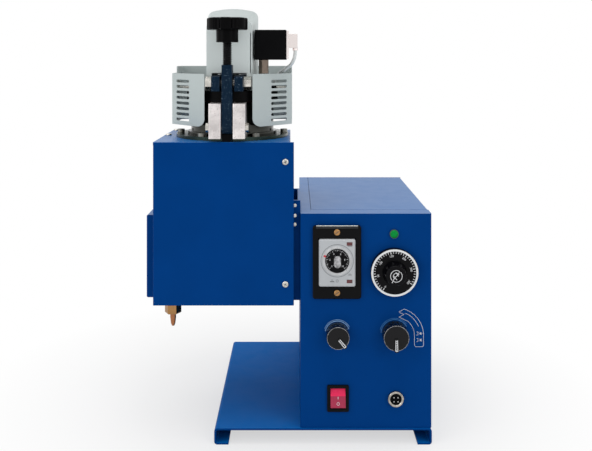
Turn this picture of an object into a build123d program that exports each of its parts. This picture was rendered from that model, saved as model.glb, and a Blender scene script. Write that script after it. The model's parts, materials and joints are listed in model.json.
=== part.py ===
from build123d import *
import os
from math import atan2, cos, degrees, hypot, pi, radians, sin, tan

# Glue sealing machine: a heated glue tank with a clamped lid, beside a control box on a folded base plate.
# Millimetres, +Z up. The control panel faces -Y.
# The origin is on the floor, in the middle of the bounding box.

os.makedirs("parts", exist_ok=True)

# Base plate: one sheet folded into a foot on each side
base_width = 243.5
base_height = 18.0
base_sheet = 2.0
base_bend = 3.5
base_lip = 1.5
foot_flange = 16.0

# Control box: chassis and L-shaped cover
control_width = 147.2
control_depth = 262.0
control_height = 240.0
box_sheet = 1.5
box_bend = 2.0
seam = 0.5
cover_front_margin = 23.0
cover_left_margin = 12.0
cover_foot_margin = 14.0
cover_ledge = 8.0

# Tank unit: housing, terminal box and the bracket that joins it to the control box
tank_width = 158.0
tank_depth = 150.0
tank_height = 183.0
tank_bottom = 155.0
tank_sheet = 1.5
tank_flange = 14.0
tank_overhang = 5.0
tank_return = 8.0
tank_top_sheet = 2.0
unit_gap = 7.2
side_box_reach = 13.0
side_box_depth = 80.0
side_box_height = 95.5
side_box_setback = 30.0
side_box_sheet = 1.2
bracket_wall = 3.0
bracket_depth = 80.0
bracket_height = 113.0
bracket_setback = 10.0

# Pot and what heats and empties it
ring_setback = 77.0
ring_shift = 4.0
ring_radius = 67.5
ring_height = 4.0
pot_radius = 50.0
pot_wall = 4.0
pot_floor = 6.0
pot_rim_height = 43.0
pot_depth = 195.0
pot_collar = 4.0
pot_collar_height = 3.0
heater_thickness = 3.5
heater_height = 100.0
heater_gap = 0.3
insulation_gap = 0.9
outlet_thickness = 22.0
outlet_width = 32.0
channel_radius = 3.0
nozzle_side = 65.0
nozzle_setback = 30.0
nozzle_radius = 7.0
nozzle_flats = 16.5
nozzle_nut_height = 10.5
nozzle_nut_drop = 17.5
tip_radius = 3.4
tip_end_radius = 2.6
tip_length = 15.0
tip_orifice = 0.8

# Lid and what it carries
lid_radius = 55.0
lid_thickness = 13.0
lid_plug_depth = 4.0
lid_plug_clearance = 1.6
seal_thickness = 1.0
seat_clearance = 0.2
bar_gap = 16.5
lid_bar_width = 9.5
lid_bar_height = 17.0
lid_bar_corner = 2.0
lid_bar_setback = 2.0
lug_bolt_radius = 4.0
hinge_setback = 152.0
hinge_height = 28.0
hinge_eye = 7.5
guard_sheet = 1.2
guard_half_width = 72.3
guard_opening = 27.5
guard_front = 58.0
guard_bend_at = 8.0
guard_rear = 63.0
guard_bottom = 14.8
guard_height = 61.2
guard_rear_rise = 8.0
guard_wrap = 36.0
guard_bend = 4.0
guard_corner = 10.0
slot_count = 8
slot_length = 27.0
slot_height = 3.4
slot_from_bend = 9.0
slot_top_margin = 9.2
slot_bottom_margin = 6.5
hood_half_width = 26.4
hood_rear_half_width = 31.0
hood_sheet = 1.2
hood_clearance = 2.5
hood_length = 55.0
hood_front_rise = 84.5
hood_rear_rise = 97.5
hood_crown = 5.0
hood_shoulder = 9.0
hood_door = 20.0
hood_slit = 0.9
hood_bar_gap = 0.5
stem_offset = 39.0
stem_setback = 52.0
stem_radius = 5.9
coil_width = 37.0
coil_depth = 28.0
coil_height = 35.0
coil_lift = 35.2
coil_left = 29.3
coil_setback = 32.0
plug_width = 10.3
plug_height = 16.3
lead_radius = 2.1
lead_offset = 77.5
lead_drop = 13.0
lead_slope = 20.0
lead_foot_offset = 50.6
lead_foot_height = 3.5

# Clamp in front of the lid
clamp_setback = 4.0
clamp_width = 11.6
clamp_depth = 14.0
clamp_pivot_height = 16.0
clamp_top = 86.6
clamp_arm_reach = 4.5
clamp_arm_height = 11.0
clevis_width = 41.0
clevis_slot = 13.0
clevis_web_gap = 3.0
pivot_bolt_radius = 4.0
clamp_bolt_radius = 3.0
clamp_nut_radius = 5.2
clamp_nut_thickness = 3.6
screw_radius = 5.25
screw_in_bar = 20.0
screw_shown = 25.5
screw_travel = 8.0
running_gap = 0.08
knob_boss_radius = 12.4
knob_boss_height = 14.0
knob_radius = 23.0
knob_height = 13.5
knob_lobes = 7
knob_valley_radius = 4.6

# Control panel: places are measured from its left edge; drops from its top, heights from the floor
timer_x = 41.0
timer_drop = 53.7
timer_frame_width = 54.2
timer_frame_height = 81.9
timer_frame_thickness = 4.0
timer_face_width = 40.6
timer_face_height = 52.6
timer_face_reach = 7.0
timer_body_length = 70.0
timer_dial_rise = 2.7
timer_scale_radius = 16.2
timer_dial_radius = 13.2
timer_grip_length = 13.0
timer_grip_width = 7.0
timer_grip_height = 5.0
lamp_x = 105.0
lamp_drop = 22.5
lamp_radius = 4.7
lamp_height = 4.0
dial_x = 105.0
dial_drop = 64.4
dial_radius = 26.6
dial_thickness = 7.0
dial_rim = 2.6
dial_hub_radius = 14.0
dial_hub_top = 11.0
dial_hub_height = 13.0
left_knob_x = 41.6
right_knob_x = 105.8
knobs_z = 124.0
left_knob_radius = 12.6
right_knob_radius = 14.2
left_knob_turn = -50.0
right_knob_turn = -90.0
panel_knob_height = 18.0
panel_knob_collar = 4.0
panel_gap = 0.6
bushing_radius = 4.5
shaft_radius = 3.0
switch_x = 42.2
switch_z = 51.5
switch_width = 24.4
switch_height = 29.7
switch_bezel = 2.0
rocker_width = 16.8
rocker_radius = 11.2
rocker_clearance = 0.3
socket_x = 106.8
socket_z = 51.1
socket_radius = 8.8
socket_reach = 4.0

# Inside and behind the control box
board_length = 80.0
board_depth = 80.0
board_edge = 6.0
board_thickness = 1.6
board_lift = 6.0
board_setback = 95.0
board_side = 30.0
relay_size = (20.0, 16.0, 15.0)
driver_size = (34.0, 26.0, 10.0)
plug_size = (12.0, 40.0, 11.0)
screw_inset = 20.0
screw_setback = 30.0
rear_setback = 218.0
transformer_depth = 40.0
transformer_foot = 3.0
transformer_height = 46.0
transformer_gap = 9.5
transformer_side_gap = 1.2
core_setback = 5.0
winding_setback = 1.0
core_inset = 8.0
winding_inset = 14.0
terminal_width = 17.0
terminal_height = 9.0
terminal_ridge = 4.0
terminal_ridge_width = 6.0
terminal_screw_spacing = 11.5
terminal_count = 6
terminal_screw_radius = 2.2
terminal_screw_rise = 1.5
terminal_spacing = 8.0
terminal_gap = 5.9
inlet_width = 27.0
inlet_height = 20.0
inlet_length = 20.0
inlet_flange = 2.0
inlet_flange_width = 50.0
inlet_flange_height = 26.0
inlet_side = 30.0
inlet_rise = 45.0
thermostat_width = 36.0
thermostat_height = 40.0
thermostat_length = 26.0

# Fasteners
head_radius = 3.6
head_height = 2.0
shank_radius = 1.9
hole_clearance = 0.2
cap_head_radius = 4.2
cap_head_height = 4.0
nut_radius = 7.6
nut_thickness = 5.0
lug_nut_thickness = 8.5

# Layout, worked out from the sizes above
tank_reach_x = side_box_reach + tank_width + unit_gap
total_width = tank_reach_x + control_width + head_height
control_right = total_width / 2 - head_height
control_left = control_right - control_width
control_x = (control_left + control_right) / 2
tank_right = control_left - unit_gap
tank_left = tank_right - tank_width
tank_wall_right = tank_right - tank_overhang
axis_x = (tank_left + tank_right) / 2 + ring_shift
dial_reach = panel_gap + dial_thickness + dial_hub_height
front_reach = max(dial_reach, knob_radius - clamp_setback)
total_depth = front_reach + control_depth + inlet_flange
front = -total_depth / 2 + front_reach
control_back = front + control_depth
control_top = base_height + control_height
timer_z = control_top - timer_drop
timer_dial_z = timer_z + timer_dial_rise
lamp_z = control_top - lamp_drop
dial_z = control_top - dial_drop
tank_back = front + tank_depth
tank_top = tank_bottom + tank_height
axis_y = front + ring_setback
ring_top = tank_top + ring_height
clamp_y = front + clamp_setback
pivot_z = tank_top + clamp_pivot_height
pot_rim = tank_top + pot_rim_height - seat_clearance
lid_under = tank_top + pot_rim_height + seal_thickness
lid_top = lid_under + lid_thickness
hinge_y = front + hinge_setback
hinge_z = tank_top + hinge_height
panel = Plane(origin=(control_left, front, 0), x_dir=(1, 0, 0), z_dir=(0, -1, 0))
low = (Align.CENTER, Align.CENTER, Align.MIN)
high = (Align.CENTER, Align.CENTER, Align.MAX)


def block(x_low, x_high, y_low, y_high, z_low, z_high, mode=Mode.ADD):
    """A block between two corners, for the part that is open."""
    with Locations(((x_low + x_high) / 2, (y_low + y_high) / 2, (z_low + z_high) / 2)):
        Box(x_high - x_low, y_high - y_low, z_high - z_low, mode=mode)


def facing(origin, direction):
    """The place whose own +Z runs along the direction."""
    return Plane(origin=origin, z_dir=direction).location


def panel_spot(x, z):
    """A place on the panel's face whose own X runs to the right, Y up and Z towards the user."""
    return Plane(origin=(control_left + x, front, z), x_dir=(1, 0, 0), z_dir=(0, -1, 0)).location


def pan_screw(shank_length):
    """A screw with a low domed head that stands on its origin; the shank goes down."""
    with BuildPart(mode=Mode.PRIVATE) as piece:
        Cylinder(head_radius, head_height, align=low)
        fillet(piece.edges().group_by(Axis.Z)[-1], head_height * 0.6)
        Cylinder(shank_radius, shank_length, align=high)
    return piece.part


def cap_screw(shank_length):
    """A socket cap screw that stands on its origin; the shank goes down."""
    with BuildPart(mode=Mode.PRIVATE) as piece:
        Cylinder(cap_head_radius, cap_head_height, align=low)
        with BuildSketch(Plane.XY.offset(cap_head_height)):
            RegularPolygon(cap_head_radius * 0.5, 6)
        extrude(amount=-cap_head_height * 0.6, mode=Mode.SUBTRACT)
        Cylinder(shank_radius, shank_length, align=high)
    return piece.part


def through_bolt(length, radius, hexagon=nut_radius, thickness=nut_thickness):
    """A bolt across a gap of this length, along Z about its middle, with a hexagon at both ends."""
    with BuildPart(mode=Mode.PRIVATE) as piece:
        Cylinder(radius, length + 2 * thickness)
        for end in (-1, 1):
            with BuildSketch(Plane.XY.offset(end * length / 2)):
                RegularPolygon(hexagon, 6)
            extrude(amount=end * thickness)
    return piece.part


def potentiometer():
    """Round body, bushing and shaft; the origin is on the panel's outer face and +Z points out of it."""
    body_radius = 12.0
    body_height = 11.0
    with BuildPart(mode=Mode.PRIVATE) as piece:
        with Locations((0, 0, -box_sheet)):
            Cylinder(body_radius, body_height, align=high)
            Cylinder(bushing_radius, box_sheet + panel_gap, align=low)
        Cylinder(shaft_radius, panel_knob_height * 0.7, align=low)
    return piece.part


def pointer_knob(radius, turn):
    """Fluted knob with a smooth face and a raised pointer; +Z points away from the panel."""
    flute_count = 18
    flute_radius = radius * 0.09
    face_edge = 1.2
    pointer_width = radius * 0.36
    pointer_reach = radius + 0.8
    pointer_rise = 1.2
    body_top = panel_knob_height - pointer_rise
    flute_length = body_top - panel_gap - panel_knob_collar - 2 * face_edge
    bore_depth = panel_knob_height * 0.7 + running_gap
    with BuildPart(mode=Mode.PRIVATE) as piece:
        with Locations((0, 0, panel_gap)):
            Cylinder(radius, body_top - panel_gap, align=low)
        chamfer(piece.edges().group_by(Axis.Z)[-1], face_edge)
        with Locations((0, 0, panel_gap + panel_knob_collar)):
            with PolarLocations(radius + flute_radius * 0.5, flute_count):
                Cylinder(flute_radius, flute_length, align=low, mode=Mode.SUBTRACT)
        with BuildSketch(Plane.XY.offset(panel_gap + panel_knob_collar)):
            with Locations(Location((0, 0, 0), (0, 0, turn))):
                with Locations((pointer_reach / 2, 0)):
                    RectangleRounded(pointer_reach, pointer_width, pointer_width * 0.3)
        extrude(amount=panel_knob_height - panel_gap - panel_knob_collar)
        Cylinder(shaft_radius + running_gap, bore_depth, align=low, mode=Mode.SUBTRACT)
    return piece.part


# Base plate
base_left = control_right - base_width
base_x = (base_left + control_right) / 2
base_front = front - base_lip
base_depth = control_back - base_front
base_screw_x = (control_left + screw_inset, control_right - screw_inset)
base_screw_y = (front + screw_setback, control_back - screw_setback)
base_nut_radius = nut_radius * 0.5

with BuildPart() as base_plate:
    with BuildSketch(Plane.XZ.offset(-base_front)) as base_profile:
        with Locations((base_x, base_height / 2)):
            Rectangle(base_width, base_height)
        fillet(base_profile.vertices(), base_bend)
        with Locations((base_x, base_height / 2)):
            RectangleRounded(
                base_width - 2 * base_sheet,
                base_height - 2 * base_sheet,
                base_bend - base_sheet,
                mode=Mode.SUBTRACT,
            )
        with Locations((base_x, base_sheet / 2)):
            Rectangle(base_width - 2 * foot_flange, base_sheet, mode=Mode.SUBTRACT)
    extrude(amount=-base_depth)
    for x in base_screw_x:
        for y in base_screw_y:
            with Locations((x, y, base_height)):
                Cylinder(shank_radius + hole_clearance, base_sheet, align=high, mode=Mode.SUBTRACT)
base_plate.part.label = "base_plate"
export_step(base_plate.part, "parts/base_plate.step")

with BuildPart() as base_screws:
    for x in base_screw_x:
        for y in base_screw_y:
            with Locations(facing((x, y, base_height - base_sheet), (0, 0, -1))):
                add(pan_screw(base_sheet + box_sheet + nut_thickness))
            with BuildSketch(Plane.XY.offset(base_height + box_sheet)):
                with Locations((x, y)):
                    RegularPolygon(base_nut_radius, 6)
            extrude(amount=nut_thickness * 0.6)
base_screws.part.label = "base_screws"
export_step(base_screws.part, "parts/base_screws.step")

# Control box: chassis with the panel, the left side, the floor and the back
cover_left = control_left + cover_left_margin
cover_front = front + cover_front_margin
cover_foot = base_height + cover_foot_margin
cover_back = control_back - box_sheet
ledge_tuck = 6.0
cover_screw_inset = 5.0
cover_screw_y = (cover_front + cover_screw_inset, cover_back - cover_screw_inset)
cover_screw_rise = 30.0
cover_screw_drop = 40.0
cover_screw_z = (cover_foot + cover_screw_rise, control_top - cover_screw_drop)
board_x = (control_left + board_side, control_left + board_side + board_length)
board_y = (front + board_setback, front + board_setback + board_depth)
inlet_x = control_x + inlet_side
inlet_z = base_height + inlet_rise
timer_hole_width = timer_face_width - 3
timer_hole_height = timer_face_height - 3
switch_hole_width = rocker_width + 5
switch_hole_height = 2 * rocker_radius + 4
bracket_y = (front + bracket_setback + 20, front + bracket_setback + bracket_depth - 20)
bracket_bolt_z = (tank_bottom + 25, control_top - 25)

with BuildPart() as control_chassis:
    block(control_left, control_right, front, control_back, base_height, control_top)
    fillet(control_chassis.edges().filter_by(Axis.Z), box_bend)
    block(
        control_left + box_sheet, control_right - box_sheet, front + box_sheet, control_back - box_sheet,
        base_height + box_sheet, control_top - box_sheet, mode=Mode.SUBTRACT,
    )
    block(
        cover_left, control_right + seam, cover_front, cover_back, cover_foot, control_top + seam,
        mode=Mode.SUBTRACT,
    )
    top_ledge = (control_top - 2 * box_sheet, control_top - box_sheet)
    side_ledge = (control_right - 2 * box_sheet, control_right - box_sheet)
    inner_right = control_right - 2 * box_sheet
    ledge_left = cover_left - ledge_tuck
    ledge_front = cover_front - ledge_tuck
    block(ledge_left, inner_right, ledge_front, cover_front + cover_ledge, *top_ledge)
    block(ledge_left, cover_left + cover_ledge, ledge_front, cover_back, *top_ledge)
    block(cover_left, inner_right, cover_back - cover_ledge, cover_back, *top_ledge)
    block(*side_ledge, ledge_front, cover_front + cover_ledge, base_height + box_sheet, top_ledge[1])
    block(*side_ledge, cover_back - cover_ledge, cover_back, base_height + box_sheet, top_ledge[1])
    block(*side_ledge, cover_front, cover_back, cover_foot - ledge_tuck, cover_foot + cover_ledge)
    for x in board_x:
        for y in board_y:
            with Locations((x, y, base_height + box_sheet)):
                Cylinder(shank_radius + 1.5, board_lift, align=low)
    for y in cover_screw_y:
        for z in cover_screw_z:
            with Locations(facing((control_right, y, z), (-1, 0, 0))):
                Cylinder(shank_radius + hole_clearance, 3 * box_sheet, align=low, mode=Mode.SUBTRACT)
    for x in base_screw_x:
        for y in base_screw_y:
            with Locations((x, y, base_height)):
                Cylinder(shank_radius + hole_clearance, box_sheet, align=low, mode=Mode.SUBTRACT)
    for y in bracket_y:
        for z in bracket_bolt_z:
            with Locations(facing((control_left, y, z), (1, 0, 0))):
                Cylinder(shank_radius + hole_clearance, box_sheet, align=low, mode=Mode.SUBTRACT)
    with BuildSketch(panel):
        with Locations((timer_x, timer_z)):
            Rectangle(timer_hole_width, timer_hole_height)
        with Locations((lamp_x, lamp_z)):
            Circle(lamp_radius - 1 + hole_clearance)
        with Locations((dial_x, dial_z), (left_knob_x, knobs_z), (right_knob_x, knobs_z)):
            Circle(bushing_radius + hole_clearance)
        with Locations((switch_x, switch_z)):
            Rectangle(switch_hole_width + 2 * hole_clearance, switch_hole_height + 2 * hole_clearance)
        with Locations((socket_x, socket_z)):
            Circle(socket_radius - 1.5 + hole_clearance)
    extrude(amount=-box_sheet, mode=Mode.SUBTRACT)
    block(
        inlet_x - inlet_width / 2 - hole_clearance, inlet_x + inlet_width / 2 + hole_clearance,
        control_back - box_sheet, control_back,
        inlet_z - inlet_height / 2 - hole_clearance, inlet_z + inlet_height / 2 + hole_clearance,
        mode=Mode.SUBTRACT,
    )
control_chassis.part.label = "control_chassis"
export_step(control_chassis.part, "parts/control_chassis.step")

with BuildPart() as control_cover:
    with BuildSketch(Plane.XZ.offset(-(cover_front + seam))) as cover_profile:
        with BuildLine():
            Polyline(
                (cover_left + seam, control_top),
                (control_right, control_top),
                (control_right, cover_foot + seam),
                (control_right - box_sheet, cover_foot + seam),
                (control_right - box_sheet, control_top - box_sheet),
                (cover_left + seam, control_top - box_sheet),
                close=True,
            )
        make_face()
        fillet(cover_profile.vertices().sort_by_distance((control_right, control_top))[0], box_bend)
    extrude(amount=-(cover_back - cover_front - 2 * seam))
    for y in cover_screw_y:
        for z in cover_screw_z:
            with Locations(facing((control_right, y, z), (-1, 0, 0))):
                Cylinder(shank_radius + hole_clearance, box_sheet, align=low, mode=Mode.SUBTRACT)
control_cover.part.label = "control_cover"
export_step(control_cover.part, "parts/control_cover.step")

# Timer in its adapter frame
timer_screw_gap = 7.2
timer_screw_z = (
    timer_z + timer_frame_height / 2 - timer_screw_gap,
    timer_z - timer_frame_height / 2 + timer_screw_gap,
)
timer_window = (6.4, 4.0)
timer_window_x = timer_x + timer_face_width / 2 - 6.5
timer_window_z = (timer_z + timer_face_height / 2 - 5, timer_z - timer_face_height / 2 + 6)

with BuildPart() as timer_frame:
    with BuildSketch(panel):
        with Locations((timer_x, timer_z)):
            RectangleRounded(timer_frame_width, timer_frame_height, 3)
            Rectangle(timer_face_width + 2 * hole_clearance, timer_face_height + 2 * hole_clearance,
                      mode=Mode.SUBTRACT)
    extrude(amount=timer_frame_thickness)
    chamfer(timer_frame.edges().group_by(Axis.Y)[0].filter_by(GeomType.LINE), 0.8)
    with BuildSketch(panel):
        with Locations(*[(timer_x, z) for z in timer_screw_z]):
            Circle(shank_radius + hole_clearance)
    extrude(amount=timer_frame_thickness, mode=Mode.SUBTRACT)
timer_frame.part.label = "timer_frame"
export_step(timer_frame.part, "parts/timer_frame.step")

strip_height = 3.6
strip_rise = 0.6
strip_thickness = 0.8
strip_width = 47.0
with BuildPart() as timer_strip:
    with BuildSketch(panel.offset(timer_frame_thickness)):
        with Locations((timer_x, timer_z + timer_frame_height / 2 + strip_rise)):
            Rectangle(strip_width, strip_height, align=(Align.CENTER, Align.MAX))
    extrude(amount=strip_thickness)
timer_strip.part.label = "timer_strip"
export_step(timer_strip.part, "parts/timer_strip.step")

with BuildPart() as timer_screws:
    for z in timer_screw_z:
        with Locations(facing((control_left + timer_x, front - timer_frame_thickness, z), (0, -1, 0))):
            add(pan_screw(timer_frame_thickness))
timer_screws.part.label = "timer_screws"
export_step(timer_screws.part, "parts/timer_screws.step")

with BuildPart() as timer_case:
    with BuildSketch(panel):
        with Locations((timer_x, timer_z)):
            RectangleRounded(timer_face_width, timer_face_height, 2)
    extrude(amount=timer_face_reach)
    chamfer(timer_case.edges().group_by(Axis.Y)[0].filter_by(GeomType.LINE), 1)
    with BuildSketch(panel):
        with Locations((timer_x, timer_z)):
            Rectangle(timer_hole_width - 2 * hole_clearance, timer_hole_height - 2 * hole_clearance)
    extrude(amount=-timer_body_length)
    with BuildSketch(panel.offset(timer_face_reach)):
        with Locations(*[(timer_window_x, z) for z in timer_window_z]):
            Rectangle(*timer_window)
        with Locations((timer_x, timer_dial_z)):
            Circle(timer_dial_radius + rocker_clearance)
    extrude(amount=-1.2, mode=Mode.SUBTRACT)
    with Locations(facing((control_left + timer_x, front - timer_face_reach, timer_dial_z), (0, 1, 0))):
        Cylinder(shaft_radius / 2 + running_gap, 5, align=low, mode=Mode.SUBTRACT)
timer_case.part.label = "timer_case"
export_step(timer_case.part, "parts/timer_case.step")

with BuildPart() as timer_scale:
    with BuildSketch(panel.offset(timer_face_reach)):
        with Locations((timer_x, timer_dial_z)):
            Circle(timer_scale_radius)
            Circle(timer_dial_radius + rocker_clearance, mode=Mode.SUBTRACT)
    extrude(amount=0.6)
timer_scale.part.label = "timer_scale"
export_step(timer_scale.part, "parts/timer_scale.step")

with BuildPart() as timer_dial:
    dial_back = front - timer_face_reach + 0.9
    with Locations(facing((control_left + timer_x, dial_back, timer_dial_z), (0, -1, 0))):
        Cylinder(timer_dial_radius, 1.8, align=low)
        Cylinder(shaft_radius / 2, 3, align=high)
    with BuildSketch(panel.offset(timer_face_reach + 0.9)):
        with Locations((timer_x, timer_dial_z)):
            SlotOverall(timer_grip_length, timer_grip_width, rotation=90)
    extrude(amount=timer_grip_height)
    fillet(timer_dial.edges().group_by(Axis.Y)[0], 1.2)
timer_dial.part.label = "timer_dial"
export_step(timer_dial.part, "parts/timer_dial.step")

with BuildPart() as timer_lamps:
    with BuildSketch(panel.offset(timer_face_reach - 1.2)):
        with Locations(*[(timer_window_x, z) for z in timer_window_z]):
            Rectangle(*timer_window)
    extrude(amount=1)
timer_lamps.part.label = "timer_lamps"
export_step(timer_lamps.part, "parts/timer_lamps.step")

# Green lamp
lamp_tail = 16.0
with BuildPart() as power_lamp:
    with Locations(facing((control_left + lamp_x, front, lamp_z), (0, -1, 0))):
        Cylinder(lamp_radius, lamp_height, align=low)
        Cylinder(lamp_radius - 1, lamp_tail, align=high)
    fillet(power_lamp.edges().group_by(Axis.Y)[0], lamp_height * 0.7)
power_lamp.part.label = "power_lamp"
export_step(power_lamp.part, "parts/power_lamp.step")

# Thermostat and its dial
with BuildPart() as thermostat:
    with BuildSketch(panel.offset(-box_sheet)):
        with Locations((dial_x, dial_z)):
            Rectangle(thermostat_width, thermostat_height)
    extrude(amount=-thermostat_length)
    with Locations(facing((control_left + dial_x, front + box_sheet, dial_z), (0, -1, 0))):
        Cylinder(bushing_radius, box_sheet + panel_gap / 2, align=low)
        Cylinder(shaft_radius, box_sheet + dial_thickness, align=low)
thermostat.part.label = "thermostat"
export_step(thermostat.part, "parts/thermostat.step")

with BuildPart() as temperature_dial:
    with Locations(facing((control_left + dial_x, front, dial_z), (0, -1, 0))):
        with Locations((0, 0, panel_gap)):
            Cylinder(dial_radius, dial_thickness, align=low)
    chamfer(temperature_dial.edges().group_by(Axis.Y)[0], 1.2)
    with BuildSketch(panel.offset(panel_gap + dial_thickness)):
        with Locations((dial_x, dial_z)):
            Circle(dial_radius - dial_rim)
            Circle(dial_hub_radius, mode=Mode.SUBTRACT)
    extrude(amount=-1.0, mode=Mode.SUBTRACT)
    hub_back = front - panel_gap - dial_thickness + 1
    with Locations(facing((control_left + dial_x, hub_back, dial_z), (0, -1, 0))):
        Cone(dial_hub_radius, dial_hub_top, dial_hub_height + 1, align=low)
    fillet(temperature_dial.edges().group_by(Axis.Y)[0], 1.2)
    with Locations(facing((control_left + dial_x, front, dial_z), (0, -1, 0))):
        Cylinder(shaft_radius + running_gap, dial_thickness + panel_gap, align=low, mode=Mode.SUBTRACT)
temperature_dial.part.label = "temperature_dial"
export_step(temperature_dial.part, "parts/temperature_dial.step")

# Two knobs on their potentiometers
left_spot = panel_spot(left_knob_x, knobs_z)
right_spot = panel_spot(right_knob_x, knobs_z)

with BuildPart() as left_potentiometer:
    with Locations(left_spot):
        add(potentiometer())
left_potentiometer.part.label = "left_potentiometer"
export_step(left_potentiometer.part, "parts/left_potentiometer.step")

with BuildPart() as right_potentiometer:
    with Locations(right_spot):
        add(potentiometer())
right_potentiometer.part.label = "right_potentiometer"
export_step(right_potentiometer.part, "parts/right_potentiometer.step")

with BuildPart() as left_knob:
    with Locations(left_spot):
        add(pointer_knob(left_knob_radius, left_knob_turn))
left_knob.part.label = "left_knob"
export_step(left_knob.part, "parts/left_knob.step")

with BuildPart() as right_knob:
    with Locations(right_spot):
        add(pointer_knob(right_knob_radius, right_knob_turn))
right_knob.part.label = "right_knob"
export_step(right_knob.part, "parts/right_knob.step")

# Rocker switch: the rocker turns about its own round back
switch_plane = Plane(origin=(control_left + switch_x, front, switch_z), x_dir=(0, 1, 0), z_dir=(1, 0, 0))
rocker_pivot = 1.5
switch_length = 22.0

with BuildPart() as switch_body:
    with BuildSketch(panel):
        with Locations((switch_x, switch_z)):
            RectangleRounded(switch_width, switch_height, 1.5)
    extrude(amount=switch_bezel)
    with BuildSketch(panel):
        with Locations((switch_x, switch_z)):
            Rectangle(switch_hole_width, switch_hole_height)
    extrude(amount=-switch_length)
    with BuildSketch(panel.offset(switch_bezel)):
        with Locations((switch_x, switch_z)):
            Rectangle(rocker_width + 2 * rocker_clearance, 2 * (rocker_radius + rocker_clearance))
    extrude(amount=-(switch_bezel + rocker_pivot + rocker_radius), mode=Mode.SUBTRACT)
    with Locations(facing((control_left + switch_x, front + rocker_pivot, switch_z), (1, 0, 0))):
        Cylinder(1.2, rocker_width + 2)
switch_body.part.label = "switch_body"
export_step(switch_body.part, "parts/switch_body.step")

with BuildPart() as rocker:
    with BuildSketch(switch_plane):
        with Locations((rocker_pivot, 0)):
            Circle(rocker_radius)
        with BuildLine():
            Polyline(
                (rocker_pivot - rocker_radius - 1, rocker_radius + 1),
                (1.2, rocker_radius + 1),
                (-2.6, 3.0),
                (-6.0, -rocker_radius - 1),
                (rocker_pivot - rocker_radius - 1, -rocker_radius - 1),
                close=True,
            )
        make_face(mode=Mode.SUBTRACT)
        with Locations((rocker_pivot + 3 + rocker_radius, 0)):
            Rectangle(2 * rocker_radius, 3 * rocker_radius, mode=Mode.SUBTRACT)
        with Locations((rocker_pivot, 0)):
            Circle(1.2 + running_gap, mode=Mode.SUBTRACT)
    extrude(amount=rocker_width / 2, both=True)
rocker.part.label = "rocker"
export_step(rocker.part, "parts/rocker.step")

# Round connector
socket_recess = 1.5
with BuildPart() as connector_shell:
    with BuildSketch(panel):
        with Locations((socket_x, socket_z)):
            Circle(socket_radius)
            Circle(socket_radius - 2.6, mode=Mode.SUBTRACT)
    extrude(amount=socket_reach)
    chamfer(connector_shell.edges().group_by(Axis.Y)[0], 0.6)
    with BuildSketch(panel):
        with Locations((socket_x, socket_z)):
            Circle(socket_radius - 1.5)
            Circle(socket_radius - 2.6, mode=Mode.SUBTRACT)
    extrude(amount=-16)
    with BuildSketch(panel.offset(-box_sheet)):
        with Locations((socket_x, socket_z)):
            RegularPolygon(socket_radius + 2, 6)
            Circle(socket_radius - 1.5, mode=Mode.SUBTRACT)
    extrude(amount=-3)
connector_shell.part.label = "connector_shell"
export_step(connector_shell.part, "parts/connector_shell.step")

with BuildPart() as connector_insert:
    insert_front = front - socket_reach + socket_recess
    with Locations(facing((control_left + socket_x, insert_front, socket_z), (0, 1, 0))):
        Cylinder(socket_radius - 2.6, 14, align=low)
    with BuildSketch(panel.offset(socket_reach - socket_recess)):
        with Locations((socket_x, socket_z)):
            with PolarLocations(3.2, 4, start_angle=45):
                Circle(0.8)
    extrude(amount=1.2)
connector_insert.part.label = "connector_insert"
export_step(connector_insert.part, "parts/connector_insert.step")

# Inside and behind the control box
with BuildPart() as mains_inlet:
    rear = Plane(origin=(inlet_x, control_back, inlet_z), x_dir=(-1, 0, 0), z_dir=(0, 1, 0))
    with BuildSketch(rear):
        RectangleRounded(inlet_flange_width, inlet_flange_height, 4)
    extrude(amount=inlet_flange)
    with BuildSketch(rear):
        Rectangle(inlet_width, inlet_height)
    extrude(amount=-inlet_length)
    with BuildSketch(rear.offset(inlet_flange)) as inlet_mouth:
        Rectangle(inlet_width - 3, inlet_height - 4)
        chamfer(inlet_mouth.vertices().group_by(Axis.Y)[-1], 4)
    extrude(amount=-inlet_length + 1, mode=Mode.SUBTRACT)
    with BuildSketch(rear.offset(-inlet_length + 2)):
        with Locations((-7, -1.5), (0, 2), (7, -1.5)):
            Rectangle(2, 4)
    extrude(amount=13)
mains_inlet.part.label = "mains_inlet"
export_step(mains_inlet.part, "parts/mains_inlet.step")

board_bottom = base_height + box_sheet + board_lift
board_top = board_bottom + board_thickness
with BuildPart() as circuit_board:
    block(
        board_x[0] - board_edge, board_x[1] + board_edge, board_y[0] - board_edge, board_y[1] + board_edge,
        board_bottom, board_top,
    )
    for along, back, size in (
        (0.225, 0.25, relay_size),
        (0.6, 0.25, relay_size),
        (0.3, 0.725, driver_size),
        (0.825, 0.625, plug_size),
    ):
        with Locations((board_x[0] + along * board_length, board_y[0] + back * board_depth, board_top)):
            Box(*size, align=low)
circuit_board.part.label = "circuit_board"
export_step(circuit_board.part, "parts/circuit_board.step")

floor_z = base_height + box_sheet
rear_y = front + rear_setback
terminal_right = base_screw_x[1] - base_nut_radius - terminal_gap
terminal_left = terminal_right - terminal_width
transformer_left = base_screw_x[0] + base_nut_radius + transformer_side_gap
transformer_width = terminal_left - transformer_gap - transformer_left
core_width = transformer_width - 2 * core_inset
core_depth = transformer_depth - 2 * core_setback
winding_width = transformer_width - 2 * winding_inset
winding_depth = transformer_depth - 2 * winding_setback
with BuildPart() as transformer:
    with Locations((transformer_left + transformer_width / 2, rear_y, floor_z)):
        Box(transformer_width, transformer_depth, transformer_foot, align=low)
        Box(core_width, core_depth, transformer_height, align=low)
    with Locations((transformer_left + transformer_width / 2, rear_y, floor_z + transformer_height / 2)):
        Box(winding_width, winding_depth, transformer_height - winding_inset)
transformer.part.label = "transformer"
export_step(transformer.part, "parts/transformer.step")

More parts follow.
